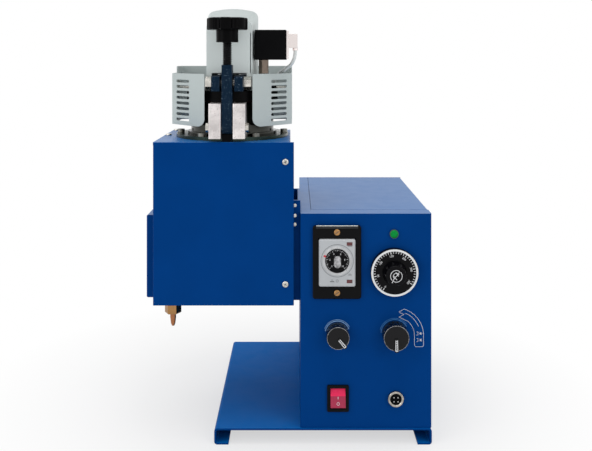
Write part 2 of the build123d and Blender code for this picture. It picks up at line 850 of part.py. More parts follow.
with BuildPart() as terminal_strip:
    with Locations(((terminal_left + terminal_right) / 2, rear_y, floor_z)):
        Box(terminal_width, terminal_count * terminal_spacing, terminal_height, align=low)
    with Locations(((terminal_left + terminal_right) / 2, rear_y, floor_z + terminal_height)):
        Box(terminal_ridge_width, terminal_count * terminal_spacing, terminal_ridge, align=low)
        with GridLocations(terminal_screw_spacing, terminal_spacing, 2, terminal_count - 1):
            Cylinder(terminal_screw_radius, terminal_screw_rise, align=low)
terminal_strip.part.label = "terminal_strip"
export_step(terminal_strip.part, "parts/terminal_strip.step")

# Tank housing: the cover is the front and left sides, the frame the right side, the back and the floor
plate_under = tank_top - tank_top_sheet
cover_screw_right = 9.5
tank_cover_screw_drop = 22.0
tank_cover_screw_rise = 24.0
tank_cover_screw_z = (tank_top - tank_cover_screw_drop, tank_bottom + tank_cover_screw_rise)
nozzle_x = axis_x - nozzle_side
nozzle_y = front + nozzle_setback

with BuildPart() as tank_cover:
    with BuildSketch(Plane.XY.offset(tank_bottom)) as cover_plan:
        with BuildLine():
            Polyline(
                (tank_right, front + tank_return),
                (tank_right, front),
                (tank_left, front),
                (tank_left, tank_back),
                (tank_left + tank_sheet, tank_back),
                (tank_left + tank_sheet, front + tank_sheet),
                (tank_right - tank_sheet, front + tank_sheet),
                (tank_right - tank_sheet, front + tank_return),
                close=True,
            )
        make_face()
        fillet(cover_plan.vertices().sort_by_distance((tank_right, front))[0], 1.2)
        fillet(cover_plan.vertices().sort_by_distance((tank_left, front))[0], 1.2)
    extrude(amount=plate_under - tank_bottom)
    block(tank_left, tank_right, front, front + tank_sheet, plate_under - 1, tank_top)
    fillet(tank_cover.edges().filter_by(Axis.X).group_by(Axis.Z)[-1].sort_by(Axis.Y)[0], 1.0)
    block(tank_left, tank_left + tank_flange, front, tank_back, plate_under - tank_sheet, plate_under)
    block(tank_left, tank_wall_right, front, front + tank_flange, plate_under - tank_sheet, plate_under)
    for z in tank_cover_screw_z:
        with Locations(facing((tank_right - cover_screw_right, front, z), (0, 1, 0))):
            Cylinder(shank_radius + hole_clearance, tank_sheet, align=low, mode=Mode.SUBTRACT)
tank_cover.part.label = "tank_cover"
export_step(tank_cover.part, "parts/tank_cover.step")

with BuildPart() as tank_frame:
    frame_left = tank_left + tank_sheet
    frame_front = front + tank_sheet
    block(frame_left, tank_wall_right, frame_front, tank_back, tank_bottom, plate_under - tank_sheet)
    block(
        frame_left - 1, tank_wall_right - tank_sheet, frame_front - 1, tank_back - tank_sheet,
        tank_bottom + tank_sheet, plate_under, mode=Mode.SUBTRACT,
    )
    block(
        tank_wall_right - tank_flange, tank_wall_right, frame_front, frame_front + tank_sheet,
        tank_bottom, plate_under - tank_sheet,
    )
    for z in tank_cover_screw_z:
        with Locations(facing((tank_right - cover_screw_right, frame_front, z), (0, 1, 0))):
            Cylinder(shank_radius + hole_clearance, tank_sheet, align=low, mode=Mode.SUBTRACT)
    for y in bracket_y:
        for z in bracket_bolt_z:
            with Locations(facing((tank_wall_right, y, z), (-1, 0, 0))):
                Cylinder(shank_radius + hole_clearance, tank_sheet, align=low, mode=Mode.SUBTRACT)
    with Locations((nozzle_x, nozzle_y, tank_bottom)):
        Cylinder(nozzle_radius + 1, tank_sheet, align=low, mode=Mode.SUBTRACT)
tank_frame.part.label = "tank_frame"
export_step(tank_frame.part, "parts/tank_frame.step")

top_screw_inset = 5.0
ring_screw_radius = ring_radius - 5
ring_screw_count = 6
top_screw_spots = [
    (tank_left + top_screw_inset, front + tank_depth * 0.52),
    (tank_left + top_screw_inset, tank_back - 2 * top_screw_inset),
]
with BuildPart() as tank_top_plate:
    block(tank_left, tank_wall_right, front + tank_sheet, tank_back, plate_under, tank_top)
    with Locations((axis_x, axis_y, plate_under)):
        Cylinder(ring_radius - 8, tank_top_sheet, align=low, mode=Mode.SUBTRACT)
    for x, y in top_screw_spots:
        with Locations((x, y, plate_under)):
            Cylinder(shank_radius + hole_clearance, tank_top_sheet, align=low, mode=Mode.SUBTRACT)
    with Locations((axis_x, axis_y, plate_under)):
        with PolarLocations(ring_screw_radius, ring_screw_count):
            Cylinder(shank_radius, tank_top_sheet, align=low, mode=Mode.SUBTRACT)
tank_top_plate.part.label = "tank_top_plate"
export_step(tank_top_plate.part, "parts/tank_top_plate.step")

with BuildPart() as cover_screws:
    for y in cover_screw_y:
        for z in cover_screw_z:
            with Locations(facing((control_right, y, z), (1, 0, 0))):
                add(pan_screw(4 * box_sheet))
    for z in tank_cover_screw_z:
        with Locations(facing((tank_right - cover_screw_right, front, z), (0, -1, 0))):
            add(pan_screw(3 * tank_sheet))
    for x, y in top_screw_spots:
        with Locations((x, y, tank_top)):
            add(pan_screw(tank_top_sheet))
cover_screws.part.label = "cover_screws"
export_step(cover_screws.part, "parts/cover_screws.step")

side_box_left = tank_left - side_box_reach
side_box_front = front + side_box_setback
with BuildPart() as side_box:
    block(
        side_box_left, tank_left, side_box_front, side_box_front + side_box_depth,
        tank_bottom, tank_bottom + side_box_height,
    )
    fillet(side_box.faces().sort_by(Axis.X)[0].edges(), 2)
    block(
        side_box_left + side_box_sheet, tank_left, side_box_front + side_box_sheet,
        side_box_front + side_box_depth - side_box_sheet, tank_bottom + side_box_sheet,
        tank_bottom + side_box_height - side_box_sheet, mode=Mode.SUBTRACT,
    )
side_box.part.label = "side_box"
export_step(side_box.part, "parts/side_box.step")

# Bracket: an upright box section between the tank and the control box
bracket_front = front + bracket_setback
bracket_bottom = tank_bottom + 3
rivet_z = [bracket_bottom + bracket_height - inset for inset in (5.5, 17.0, 27.0)]
with BuildPart() as tank_bracket:
    with BuildSketch(Plane.XY.offset(bracket_bottom)):
        with Locations(((tank_wall_right + control_left) / 2, bracket_front + bracket_depth / 2)):
            Rectangle(control_left - tank_wall_right, bracket_depth)
            Rectangle(
                control_left - tank_wall_right - 2 * bracket_wall, bracket_depth - 2 * bracket_wall,
                mode=Mode.SUBTRACT,
            )
    extrude(amount=bracket_height)
    for y in bracket_y:
        for z in bracket_bolt_z:
            with Locations(facing((tank_wall_right, y, z), (1, 0, 0))):
                Cylinder(shank_radius + hole_clearance, control_left - tank_wall_right, align=low,
                         mode=Mode.SUBTRACT)
tank_bracket.part.label = "tank_bracket"
export_step(tank_bracket.part, "parts/tank_bracket.step")

with BuildPart() as bracket_bolts:
    bolt_span = control_left + box_sheet - tank_wall_right + tank_sheet
    for y in bracket_y:
        for z in bracket_bolt_z:
            with Locations(facing((tank_wall_right - tank_sheet, y, z), (-1, 0, 0))):
                add(pan_screw(bolt_span + nut_thickness * 0.8))
            with BuildSketch(Plane(origin=(control_left + box_sheet, y, z), z_dir=(1, 0, 0))):
                RegularPolygon(nut_radius * 0.5, 6)
            extrude(amount=nut_thickness * 0.6)
    for z in rivet_z:
        with Locations(facing(((tank_wall_right + control_left) / 2, bracket_front, z), (0, -1, 0))):
            Cylinder(2, 1.2, align=low)
bracket_bolts.part.label = "bracket_bolts"
export_step(bracket_bolts.part, "parts/bracket_bolts.step")

# Pot, flange ring, heater and insulation
pot_bottom = pot_rim - pot_depth
outlet_radius = channel_radius + 1
with BuildPart() as pot:
    with Locations((axis_x, axis_y, pot_bottom)):
        Cylinder(pot_radius, pot_depth, align=low)
    with Locations((axis_x, axis_y, ring_top)):
        Cylinder(pot_radius + pot_collar, pot_collar_height, align=low)
    with Locations((axis_x, axis_y, pot_bottom + pot_floor)):
        Cylinder(pot_radius - pot_wall, pot_depth, align=low, mode=Mode.SUBTRACT)
    with Locations((axis_x, axis_y, pot_bottom)):
        Cylinder(outlet_radius, pot_floor, align=low, mode=Mode.SUBTRACT)
pot.part.label = "pot"
export_step(pot.part, "parts/pot.step")

with BuildPart() as flange_ring:
    with Locations((axis_x, axis_y, tank_top)):
        Cylinder(ring_radius, ring_height, align=low)
        Cylinder(pot_radius + seat_clearance, ring_height, align=low, mode=Mode.SUBTRACT)
        with PolarLocations(ring_screw_radius, ring_screw_count):
            Cylinder(shank_radius, ring_height, align=low, mode=Mode.SUBTRACT)
flange_ring.part.label = "flange_ring"
export_step(flange_ring.part, "parts/flange_ring.step")

with BuildPart() as ring_screws:
    with Locations((axis_x, axis_y, ring_top)):
        with PolarLocations(ring_screw_radius, ring_screw_count):
            add(cap_screw(ring_height + tank_top_sheet))
ring_screws.part.label = "ring_screws"
export_step(ring_screws.part, "parts/ring_screws.step")

heater_bottom = pot_bottom + 12
with BuildPart() as band_heater:
    with BuildSketch(Plane.XY.offset(heater_bottom)):
        with Locations((axis_x, axis_y)):
            Circle(pot_radius + heater_gap + heater_thickness)
            Circle(pot_radius + heater_gap, mode=Mode.SUBTRACT)
            Rectangle(4, 2 * pot_radius + 20, align=(Align.CENTER, Align.MIN), mode=Mode.SUBTRACT)
    extrude(amount=heater_height)
band_heater.part.label = "band_heater"
export_step(band_heater.part, "parts/band_heater.step")

bulb_radius = 1.6
bulb_gap = 0.1
with BuildPart() as thermostat_bulb:
    with Locations((axis_x, axis_y + pot_radius + bulb_gap + bulb_radius, heater_bottom + 15)):
        Cylinder(bulb_radius, heater_height - 30, align=low)
thermostat_bulb.part.label = "thermostat_bulb"
export_step(thermostat_bulb.part, "parts/thermostat_bulb.step")

insulation_inner = pot_radius + heater_gap + heater_thickness + heater_gap
bolt_heads = tank_wall_right - tank_sheet - head_height
insulation_room = min(
    axis_x - tank_left - tank_sheet,
    bolt_heads - axis_x,
    axis_y - front - tank_sheet,
    tank_back - tank_sheet - axis_y,
)
insulation_outer = insulation_room - insulation_gap
with BuildPart() as insulation:
    with BuildSketch(Plane.XY.offset(pot_bottom + 2)):
        with Locations((axis_x, axis_y)):
            Circle(insulation_outer)
            Circle(insulation_inner, mode=Mode.SUBTRACT)
    extrude(amount=plate_under - tank_sheet - 1 - pot_bottom - 2)
insulation.part.label = "insulation"
export_step(insulation.part, "parts/insulation.step")

# Outlet block: the glue leaves the pot's floor, runs across and goes down into the nozzle
outlet_run = hypot(nozzle_x - axis_x, nozzle_y - axis_y)
outlet_turn = degrees(atan2(nozzle_y - axis_y, nozzle_x - axis_x))
outlet_bottom = pot_bottom - outlet_thickness
outlet_middle = pot_bottom - outlet_thickness / 2
with BuildPart() as outlet_block:
    with BuildSketch(Plane.XY.offset(outlet_bottom)):
        with Locations(((axis_x + nozzle_x) / 2, (axis_y + nozzle_y) / 2)):
            SlotCenterToCenter(outlet_run, outlet_width, rotation=outlet_turn)
    extrude(amount=outlet_thickness)
    with Locations((axis_x, axis_y, outlet_middle)):
        Cylinder(outlet_radius, outlet_thickness / 2, align=low, mode=Mode.SUBTRACT)
    with Locations((nozzle_x, nozzle_y, outlet_bottom)):
        Cylinder(channel_radius, outlet_thickness / 2, align=low, mode=Mode.SUBTRACT)
    with Locations(facing((axis_x, axis_y, outlet_middle), (nozzle_x - axis_x, nozzle_y - axis_y, 0))):
        Cylinder(channel_radius, outlet_run, align=low, mode=Mode.SUBTRACT)
outlet_block.part.label = "outlet_block"
export_step(outlet_block.part, "parts/outlet_block.step")

nut_bottom = tank_bottom - nozzle_nut_drop
nut_top = nut_bottom + nozzle_nut_height
with BuildPart() as nozzle:
    with Locations((nozzle_x, nozzle_y, nut_top)):
        Cylinder(nozzle_radius, outlet_bottom - nut_top, align=low)
    with BuildSketch(Plane.XY.offset(nut_bottom)):
        with Locations((nozzle_x, nozzle_y)):
            RegularPolygon(nozzle_flats / 2, 6, major_radius=False)
    extrude(amount=nozzle_nut_height)
    chamfer(nozzle.edges().group_by(Axis.Z)[0], 0.8)
    with Locations((nozzle_x, nozzle_y, nut_bottom)):
        Cylinder(channel_radius, outlet_bottom - nut_bottom, align=low, mode=Mode.SUBTRACT)
nozzle.part.label = "nozzle"
export_step(nozzle.part, "parts/nozzle.step")

with BuildPart() as nozzle_tip:
    with BuildSketch(Plane(origin=(nozzle_x, nozzle_y, nut_bottom), x_dir=(1, 0, 0), z_dir=(0, -1, 0))):
        with BuildLine():
            Polyline(
                (tip_orifice, nozzle_nut_height),
                (channel_radius - running_gap, nozzle_nut_height),
                (channel_radius - running_gap, 0),
                (tip_radius, 0),
                (tip_radius, -tip_length * 0.35),
                (tip_end_radius, -tip_length * 0.8),
                (tip_orifice + 0.7, -tip_length),
                (tip_orifice, -tip_length),
                close=True,
            )
        make_face()
    revolve(axis=Axis((nozzle_x, nozzle_y, 0), (0, 0, 1)))
nozzle_tip.part.label = "nozzle_tip"
export_step(nozzle_tip.part, "parts/nozzle_tip.step")

# Clevis on the flange ring, hinge block at the rear, and the two bolts that clamp and lid turn on
clevis_front = clamp_y - clamp_depth / 2 - 1
web_front = clamp_y + clamp_depth / 2 + clevis_web_gap
clevis_base = ring_top
with BuildPart() as clevis:
    block(
        axis_x - clevis_width / 2, axis_x + clevis_width / 2, clevis_front, axis_y,
        clevis_base, tank_top + pot_rim_height + 0.3,
    )
    block(
        axis_x - clevis_slot / 2, axis_x + clevis_slot / 2, clevis_front, web_front,
        clevis_base, tank_top + pot_rim_height + 0.3, mode=Mode.SUBTRACT,
    )
    with Locations((axis_x, axis_y, clevis_base)):
        Cylinder(pot_radius + 0.05, pot_rim_height + 1, align=low, mode=Mode.SUBTRACT)
        Cylinder(pot_radius + pot_collar + 0.05, pot_collar_height + 0.05, align=low, mode=Mode.SUBTRACT)
    with Locations(facing((axis_x, clamp_y, pivot_z), (1, 0, 0))):
        Cylinder(clamp_bolt_radius + running_gap, clevis_width, mode=Mode.SUBTRACT)
    fillet(clevis.edges().filter_by(Axis.Z).group_by(Axis.Y)[0], 1.5)
clevis.part.label = "clevis"
export_step(clevis.part, "parts/clevis.step")

hinge_block_half = bar_gap / 2 - 0.6
with BuildPart() as hinge_block:
    block(
        axis_x - hinge_block_half, axis_x + hinge_block_half, axis_y, hinge_y,
        clevis_base, hinge_z + hinge_eye,
    )
    with Locations(facing((axis_x, hinge_y, hinge_z), (1, 0, 0))):
        Cylinder(hinge_eye, 2 * hinge_block_half)
    with Locations((axis_x, axis_y, clevis_base)):
        Cylinder(pot_radius + 0.05, pot_rim_height + 1, align=low, mode=Mode.SUBTRACT)
        Cylinder(pot_radius + pot_collar + 0.05, pot_collar_height + 0.05, align=low, mode=Mode.SUBTRACT)
    with Locations(facing((axis_x, hinge_y, hinge_z), (1, 0, 0))):
        Cylinder(pivot_bolt_radius + running_gap, 2 * hinge_block_half, mode=Mode.SUBTRACT)
hinge_block.part.label = "hinge_block"
export_step(hinge_block.part, "parts/hinge_block.step")

bars_width = bar_gap + 2 * lid_bar_width
with BuildPart() as pivot_bolts:
    with Locations(facing((axis_x, clamp_y, pivot_z), (1, 0, 0))):
        add(through_bolt(clevis_width, clamp_bolt_radius, clamp_nut_radius, clamp_nut_thickness))
    with Locations(facing((axis_x, hinge_y, hinge_z), (1, 0, 0))):
        add(through_bolt(bars_width + 0.6, pivot_bolt_radius))
pivot_bolts.part.label = "pivot_bolts"
export_step(pivot_bolts.part, "parts/pivot_bolts.step")

# Stop under the clamp bar
with BuildPart() as clamp_stop:
    block(
        axis_x - clamp_width / 2, axis_x + clamp_width / 2,
        front + tank_sheet, front + ring_setback - ring_radius,
        tank_top, pivot_z - clamp_depth / 2 - 0.4,
    )
clamp_stop.part.label = "clamp_stop"
export_step(clamp_stop.part, "parts/clamp_stop.step")

# Clamp bar: a round foot about its pivot, a short arm at the top and the hole for the screw
bar_top = tank_top + clamp_top
with BuildPart() as clamp_bar:
    with BuildSketch(Plane(origin=(axis_x, clamp_y, 0), x_dir=(0, 1, 0), z_dir=(1, 0, 0))) as bar_profile:
        with Locations((0, pivot_z)):
            Circle(clamp_depth / 2)
            Rectangle(clamp_depth, bar_top - pivot_z, align=(Align.CENTER, Align.MIN))
        with Locations((-clamp_depth / 2, bar_top)):
            Rectangle(clamp_depth + clamp_arm_reach, clamp_arm_height, align=(Align.MIN, Align.MAX))
        rear_top = bar_profile.vertices().sort_by_distance((clamp_depth / 2 + clamp_arm_reach, bar_top))[0]
        fillet(rear_top, 4)
        with Locations((0, pivot_z)):
            Circle(clamp_bolt_radius + running_gap, mode=Mode.SUBTRACT)
    extrude(amount=clamp_width / 2, both=True)
    with Locations((axis_x, clamp_y, bar_top)):
        Cylinder(screw_radius + running_gap, screw_in_bar + screw_travel + 1, align=high, mode=Mode.SUBTRACT)
clamp_bar.part.label = "clamp_bar"
export_step(clamp_bar.part, "parts/clamp_bar.step")

screw_top = bar_top + screw_shown + knob_boss_height
with BuildPart() as clamp_screw:
    with Locations((axis_x, clamp_y, bar_top - screw_in_bar)):
        Cylinder(screw_radius, screw_top - bar_top + screw_in_bar, align=low)
    chamfer(clamp_screw.edges().group_by(Axis.Z)[0], 1)
clamp_screw.part.label = "clamp_screw"
export_step(clamp_screw.part, "parts/clamp_screw.step")

# Star knob: lobes round a domed head, on a boss
boss_bottom = bar_top + screw_shown
head_bottom = boss_bottom + knob_boss_height
valley_ring = knob_radius + knob_valley_radius * 0.35
with BuildPart() as star_knob:
    with BuildSketch(Plane.XY.offset(head_bottom)) as star:
        with Locations((axis_x, clamp_y)):
            Circle(knob_radius)
            with PolarLocations(valley_ring, knob_lobes, start_angle=90):
                Circle(knob_valley_radius, mode=Mode.SUBTRACT)
        fillet(star.vertices(), 1.6)
    extrude(amount=knob_height)
    fillet(star_knob.edges().group_by(Axis.Z)[-1], 1.8)
    fillet(star_knob.edges().group_by(Axis.Z)[0], 1.2)
    with Locations((axis_x, clamp_y, boss_bottom)):
        Cylinder(knob_boss_radius, knob_boss_height + 1, align=low)
    with Locations((axis_x, clamp_y, boss_bottom)):
        Cylinder(screw_radius + running_gap, knob_boss_height + running_gap, align=low, mode=Mode.SUBTRACT)
star_knob.part.label = "star_knob"
export_step(star_knob.part, "parts/star_knob.step")

# Lid with its plug and seal
stem_x = axis_x + stem_offset
stem_y = front + stem_setback
lead_foot_x = axis_x + lead_foot_offset
with BuildPart() as lid:
    with Locations((axis_x, axis_y, lid_under)):
        Cylinder(lid_radius, lid_thickness, align=low)
        Cylinder(pot_radius - pot_wall - lid_plug_clearance, lid_plug_depth, align=high)
    chamfer(lid.edges().group_by(Axis.Z)[-1], 1)
    with Locations((stem_x, stem_y, lid_under - lid_plug_depth)):
        Cylinder(2.5, lid_thickness + lid_plug_depth, align=low, mode=Mode.SUBTRACT)
    with Locations((lead_foot_x, axis_y, lid_top)):
        Cylinder(lead_radius + 0.8, lead_foot_height, align=low)
lid.part.label = "lid"
export_step(lid.part, "parts/lid.step")

with BuildPart() as lid_seal:
    with BuildSketch(Plane.XY.offset(lid_under - seal_thickness)):
        with Locations((axis_x, axis_y)):
            Circle(pot_radius)
            Circle(pot_radius - pot_wall - lid_plug_clearance, mode=Mode.SUBTRACT)
    extrude(amount=seal_thickness)
lid_seal.part.label = "lid_seal"
export_step(lid_seal.part, "parts/lid_seal.step")

# Two bars over the lid: their front ends stand beside the clamp bar, their rear ends are the hinge
bars_front = clamp_y - clamp_depth / 2 + lid_bar_setback
with BuildPart() as lid_bars:
    for side in (-1, 1):
        centre = axis_x + side * (bar_gap + lid_bar_width) / 2
        with BuildSketch(Plane(origin=(centre, 0, 0), x_dir=(0, 1, 0), z_dir=(1, 0, 0))) as bar_side:
            with BuildLine():
                Polyline(
                    (bars_front, lid_top),
                    (bars_front, lid_top + lid_bar_height),
                    (hinge_y + hinge_eye, lid_top + lid_bar_height),
                    (hinge_y + hinge_eye, hinge_z),
                    (hinge_y - hinge_eye, hinge_z),
                    (hinge_y - hinge_eye, lid_top),
                    close=True,
                )
            make_face()
            with Locations((hinge_y, hinge_z)):
                Circle(hinge_eye)
            rear_corner = (hinge_y + hinge_eye, lid_top + lid_bar_height)
            fillet(bar_side.vertices().sort_by_distance(rear_corner)[0], 10)
            front_corner = (bars_front, lid_top + lid_bar_height)
            fillet(bar_side.vertices().sort_by_distance(front_corner)[0], lid_bar_corner)
            with Locations((hinge_y, hinge_z)):
                Circle(pivot_bolt_radius + running_gap, mode=Mode.SUBTRACT)
            with Locations((clamp_y + 17, lid_top + lid_bar_height / 2)):
                Circle(lug_bolt_radius + running_gap, mode=Mode.SUBTRACT)
        extrude(amount=lid_bar_width / 2, both=True)
lid_bars.part.label = "lid_bars"
export_step(lid_bars.part, "parts/lid_bars.step")

with BuildPart() as lug_bolt:
    with Locations(facing((axis_x, clamp_y + 17, lid_top + lid_bar_height / 2), (1, 0, 0))):
        add(through_bolt(bars_width, lug_bolt_radius, thickness=lug_nut_thickness))
lug_bolt.part.label = "lug_bolt"
export_step(lug_bolt.part, "parts/lug_bolt.step")


def arch(y, half_width, bottom, rise):
    """The hood's section at y: upright sides and a low crown with rounded shoulders."""
    shoulder = rise - hood_crown
    with BuildSketch(Plane.XZ.offset(-y), mode=Mode.PRIVATE) as section:
        with BuildLine():
            Line((axis_x + half_width, bottom), (axis_x + half_width, shoulder))
            ThreePointArc((axis_x + half_width, shoulder), (axis_x, rise), (axis_x - half_width, shoulder))
            Line((axis_x - half_width, shoulder), (axis_x - half_width, bottom))
            Line((axis_x - half_width, bottom), (axis_x + half_width, bottom))
        make_face()
        fillet(section.vertices().group_by(Axis.Y)[-1], hood_shoulder)
    return section.sketch


hood_front = clamp_y + knob_radius + hood_clearance
hood_rear = hood_front + hood_length
hood_front_top = lid_top + hood_front_rise
hood_rear_top = lid_top + hood_rear_rise
with BuildPart() as hood:
    add(arch(hood_front, hood_half_width, lid_top, hood_front_top))
    add(arch(hood_rear, hood_rear_half_width, lid_top, hood_rear_top))
    loft()
    add(arch(hood_front + hood_sheet, hood_half_width - hood_sheet, lid_top, hood_front_top - hood_sheet))
    add(arch(hood_rear - hood_sheet, hood_rear_half_width - hood_sheet, lid_top, hood_rear_top - hood_sheet))
    loft(mode=Mode.SUBTRACT)
    door_half = bars_width / 2 + 2.5
    block(
        axis_x - door_half, axis_x + door_half, hood_front - 1, hood_front + hood_sheet + 1,
        lid_top, lid_top + hood_door, mode=Mode.SUBTRACT,
    )
    for side in (-1, 1):
        notch_x = axis_x + side * (bar_gap + lid_bar_width) / 2
        block(
            notch_x - lid_bar_width / 2 - hood_bar_gap, notch_x + lid_bar_width / 2 + hood_bar_gap,
            hood_rear - hood_sheet - 1, hood_rear + 1, lid_top, lid_top + lid_bar_height + hood_bar_gap,
            mode=Mode.SUBTRACT,
        )
    slit_right = axis_x + hood_half_width - hood_sheet
    block(
        slit_right - hood_slit, slit_right, hood_front - 1, hood_front + hood_sheet + 0.5,
        lid_top + hood_door, hood_front_top - 2 * hood_shoulder, mode=Mode.SUBTRACT,
    )
hood.part.label = "hood"
export_step(hood.part, "parts/hood.step")

# Guard round the lid: slotted wings bent back from the opening, plain sides and a higher rear
guard_low = tank_top + guard_bottom
guard_top = guard_low + guard_height
guard_plan = [
    (-guard_opening, -guard_front),
    (guard_opening, -guard_front),
    (guard_half_width, -guard_bend_at),
    (guard_half_width, guard_rear),
    (-guard_half_width, guard_rear),
    (-guard_half_width, -guard_bend_at),
]
slot_pitch = (guard_height - slot_top_margin - slot_bottom_margin) / (slot_count - 1)
wing_run = (guard_half_width - guard_opening, guard_front - guard_bend_at)
with BuildPart() as guard:
    with BuildSketch(Plane.XY.offset(guard_low)) as guard_ring:
        with Locations((axis_x, axis_y)):
            with BuildLine(mode=Mode.PRIVATE) as guard_line:
                Polyline(*guard_plan, close=True)
            add(make_face(guard_line.edges(), mode=Mode.PRIVATE))
        fillet(guard_ring.vertices().group_by(Axis.Y)[-1], guard_bend)
        offset(guard_ring.sketch, amount=-guard_sheet, mode=Mode.SUBTRACT)
        with Locations((axis_x, axis_y - guard_front)):
            Rectangle(2 * guard_opening, 4 * guard_sheet, mode=Mode.SUBTRACT)
    extrude(amount=guard_height + guard_rear_rise)
    block(
        axis_x - 2 * guard_half_width, axis_x + 2 * guard_half_width,
        axis_y - 2 * guard_front, axis_y + guard_rear - guard_wrap,
        guard_top, guard_top + 2 * guard_rear_rise, mode=Mode.SUBTRACT,
    )
    with BuildSketch(Plane.XZ.offset(guard_front - axis_y + 1)):
        for side in (-1, 1):
            corner_x = axis_x + side * guard_opening
            with Locations((corner_x + side * guard_corner / 2, guard_low + guard_corner / 2)):
                Rectangle(guard_corner, guard_corner)
            with Locations((corner_x + side * guard_corner, guard_low + guard_corner)):
                Circle(guard_corner, mode=Mode.SUBTRACT)
    extrude(amount=-1.5 * guard_corner, mode=Mode.SUBTRACT)
    block(
        axis_x - bars_width / 2 - 6.5, axis_x + bars_width / 2 + 6.5,
        axis_y + guard_rear - 5, axis_y + guard_rear + 5,
        guard_low, lid_top + lid_bar_height + 1, mode=Mode.SUBTRACT,
    )
    for side in (-1, 1):
        wing = Plane(
            origin=(axis_x + side * guard_half_width, axis_y - guard_bend_at, 0),
            x_dir=(-side * wing_run[0], -wing_run[1], 0),
            z_dir=(side * wing_run[1], -wing_run[0], 0),
        )
        with BuildSketch(wing):
            for index in range(slot_count):
                slot_z = guard_top - slot_top_margin - index * slot_pitch
                with Locations((slot_from_bend + slot_length / 2, -side * slot_z)):
                    SlotOverall(slot_length, slot_height)
        extrude(amount=3 * guard_sheet, both=True, mode=Mode.SUBTRACT)
guard.part.label = "guard"
export_step(guard.part, "parts/guard.step")

# Angle brackets between the lid and the guard's sides
strap_half = 6.0
strap_thickness = 2.0
strap_rise = 14.0
strap_places = (14.0, 32.0)
with BuildPart() as guard_brackets:
    for side in (-1, 1):
        inner = axis_x + side * 32
        outer = axis_x + side * (guard_half_width - guard_sheet)
        for place in strap_places:
            y_low, y_high = axis_y + place - strap_half, axis_y + place + strap_half
            x_low, x_high = sorted((inner, outer))
            block(x_low, x_high, y_low, y_high, lid_top, lid_top + strap_thickness)
            x_low, x_high = sorted((outer - side * strap_thickness, outer))
            block(x_low, x_high, y_low, y_high, lid_top, lid_top + strap_rise)
guard_brackets.part.label = "guard_brackets"
export_step(guard_brackets.part, "parts/guard_brackets.step")

# Valve on the lid: stem, coil, plug and lead
coil_bottom = lid_top + coil_lift
coil_x = axis_x + coil_left
coil_right = coil_x + coil_width
coil_front = front + coil_setback
coil_y = coil_front + coil_depth / 2
with BuildPart() as valve_stem:
    with Locations((stem_x, stem_y, lid_top)):
        Cylinder(stem_radius, coil_lift, align=low)
    with BuildSketch(Plane.XY.offset(lid_top)):
        with Locations((stem_x, stem_y)):
            RegularPolygon(stem_radius + 1.5, 6)
    extrude(amount=9)
valve_stem.part.label = "valve_stem"
export_step(valve_stem.part, "parts/valve_stem.step")

with BuildPart() as valve_coil:
    block(
        coil_x, coil_right, coil_front, coil_front + coil_depth,
        coil_bottom, coil_bottom + coil_height,
    )
    fillet(valve_coil.edges().filter_by(Axis.Z), 2.5)
    chamfer(valve_coil.edges().group_by(Axis.Z)[-1], 0.8)
valve_coil.part.label = "valve_coil"
export_step(valve_coil.part, "parts/valve_coil.step")

plate_thickness = 2.6
plug_bottom = coil_bottom + 14.0
plug_x = coil_right + plate_thickness
lead_gland = 3.0
with BuildPart() as valve_plug:
    block(
        coil_right, plug_x, coil_front + 2, coil_front + coil_depth - 2,
        coil_bottom + 1, coil_bottom + coil_height - 1,
    )
    block(plug_x, plug_x + plug_width, coil_y - 9, coil_y + 9, plug_bottom, plug_bottom + plug_height)
    with Locations((axis_x + lead_offset - 1, coil_y, plug_bottom)):
        Cylinder(lead_radius + 1, lead_gland, align=high)
valve_plug.part.label = "valve_plug"
export_step(valve_plug.part, "parts/valve_plug.step")

# Lead: down out of the plug, across over the guard's edge, and down into the lid, in two wide bends
lead_x = axis_x + lead_offset - 1
lead_top = Vector(lead_x, coil_y, plug_bottom - lead_gland)
lead_knee = Vector(lead_x, coil_y, plug_bottom - lead_gland - lead_drop)
lead_foot = Vector(lead_foot_x, axis_y, lid_top + lead_foot_height)
lead_ankle = Vector(lead_foot_x, axis_y, lead_knee.Z - lead_slope)
down = Vector(0, 0, -1)
across = (lead_ankle - lead_knee).normalized()
knee_trim = lead_drop * 0.93
ankle_trim = (lead_ankle.Z - lead_foot.Z) * 0.93
with BuildPart() as valve_lead:
    with BuildLine() as lead_line:
        Line(lead_top, lead_knee - down * knee_trim)
        TangentArc(lead_knee - down * knee_trim, lead_knee + across * knee_trim, tangent=down)
        Line(lead_knee + across * knee_trim, lead_ankle - across * ankle_trim)
        TangentArc(lead_ankle - across * ankle_trim, lead_ankle + down * ankle_trim, tangent=across)
        Line(lead_ankle + down * ankle_trim, lead_foot)
    with BuildSketch(Plane(origin=lead_top, z_dir=down)):
        Circle(lead_radius)
    sweep(path=lead_line.line)
valve_lead.part.label = "valve_lead"
export_step(valve_lead.part, "parts/valve_lead.step")
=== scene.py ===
import json
import math
import bmesh
import bpy
from mathutils import Matrix, Vector


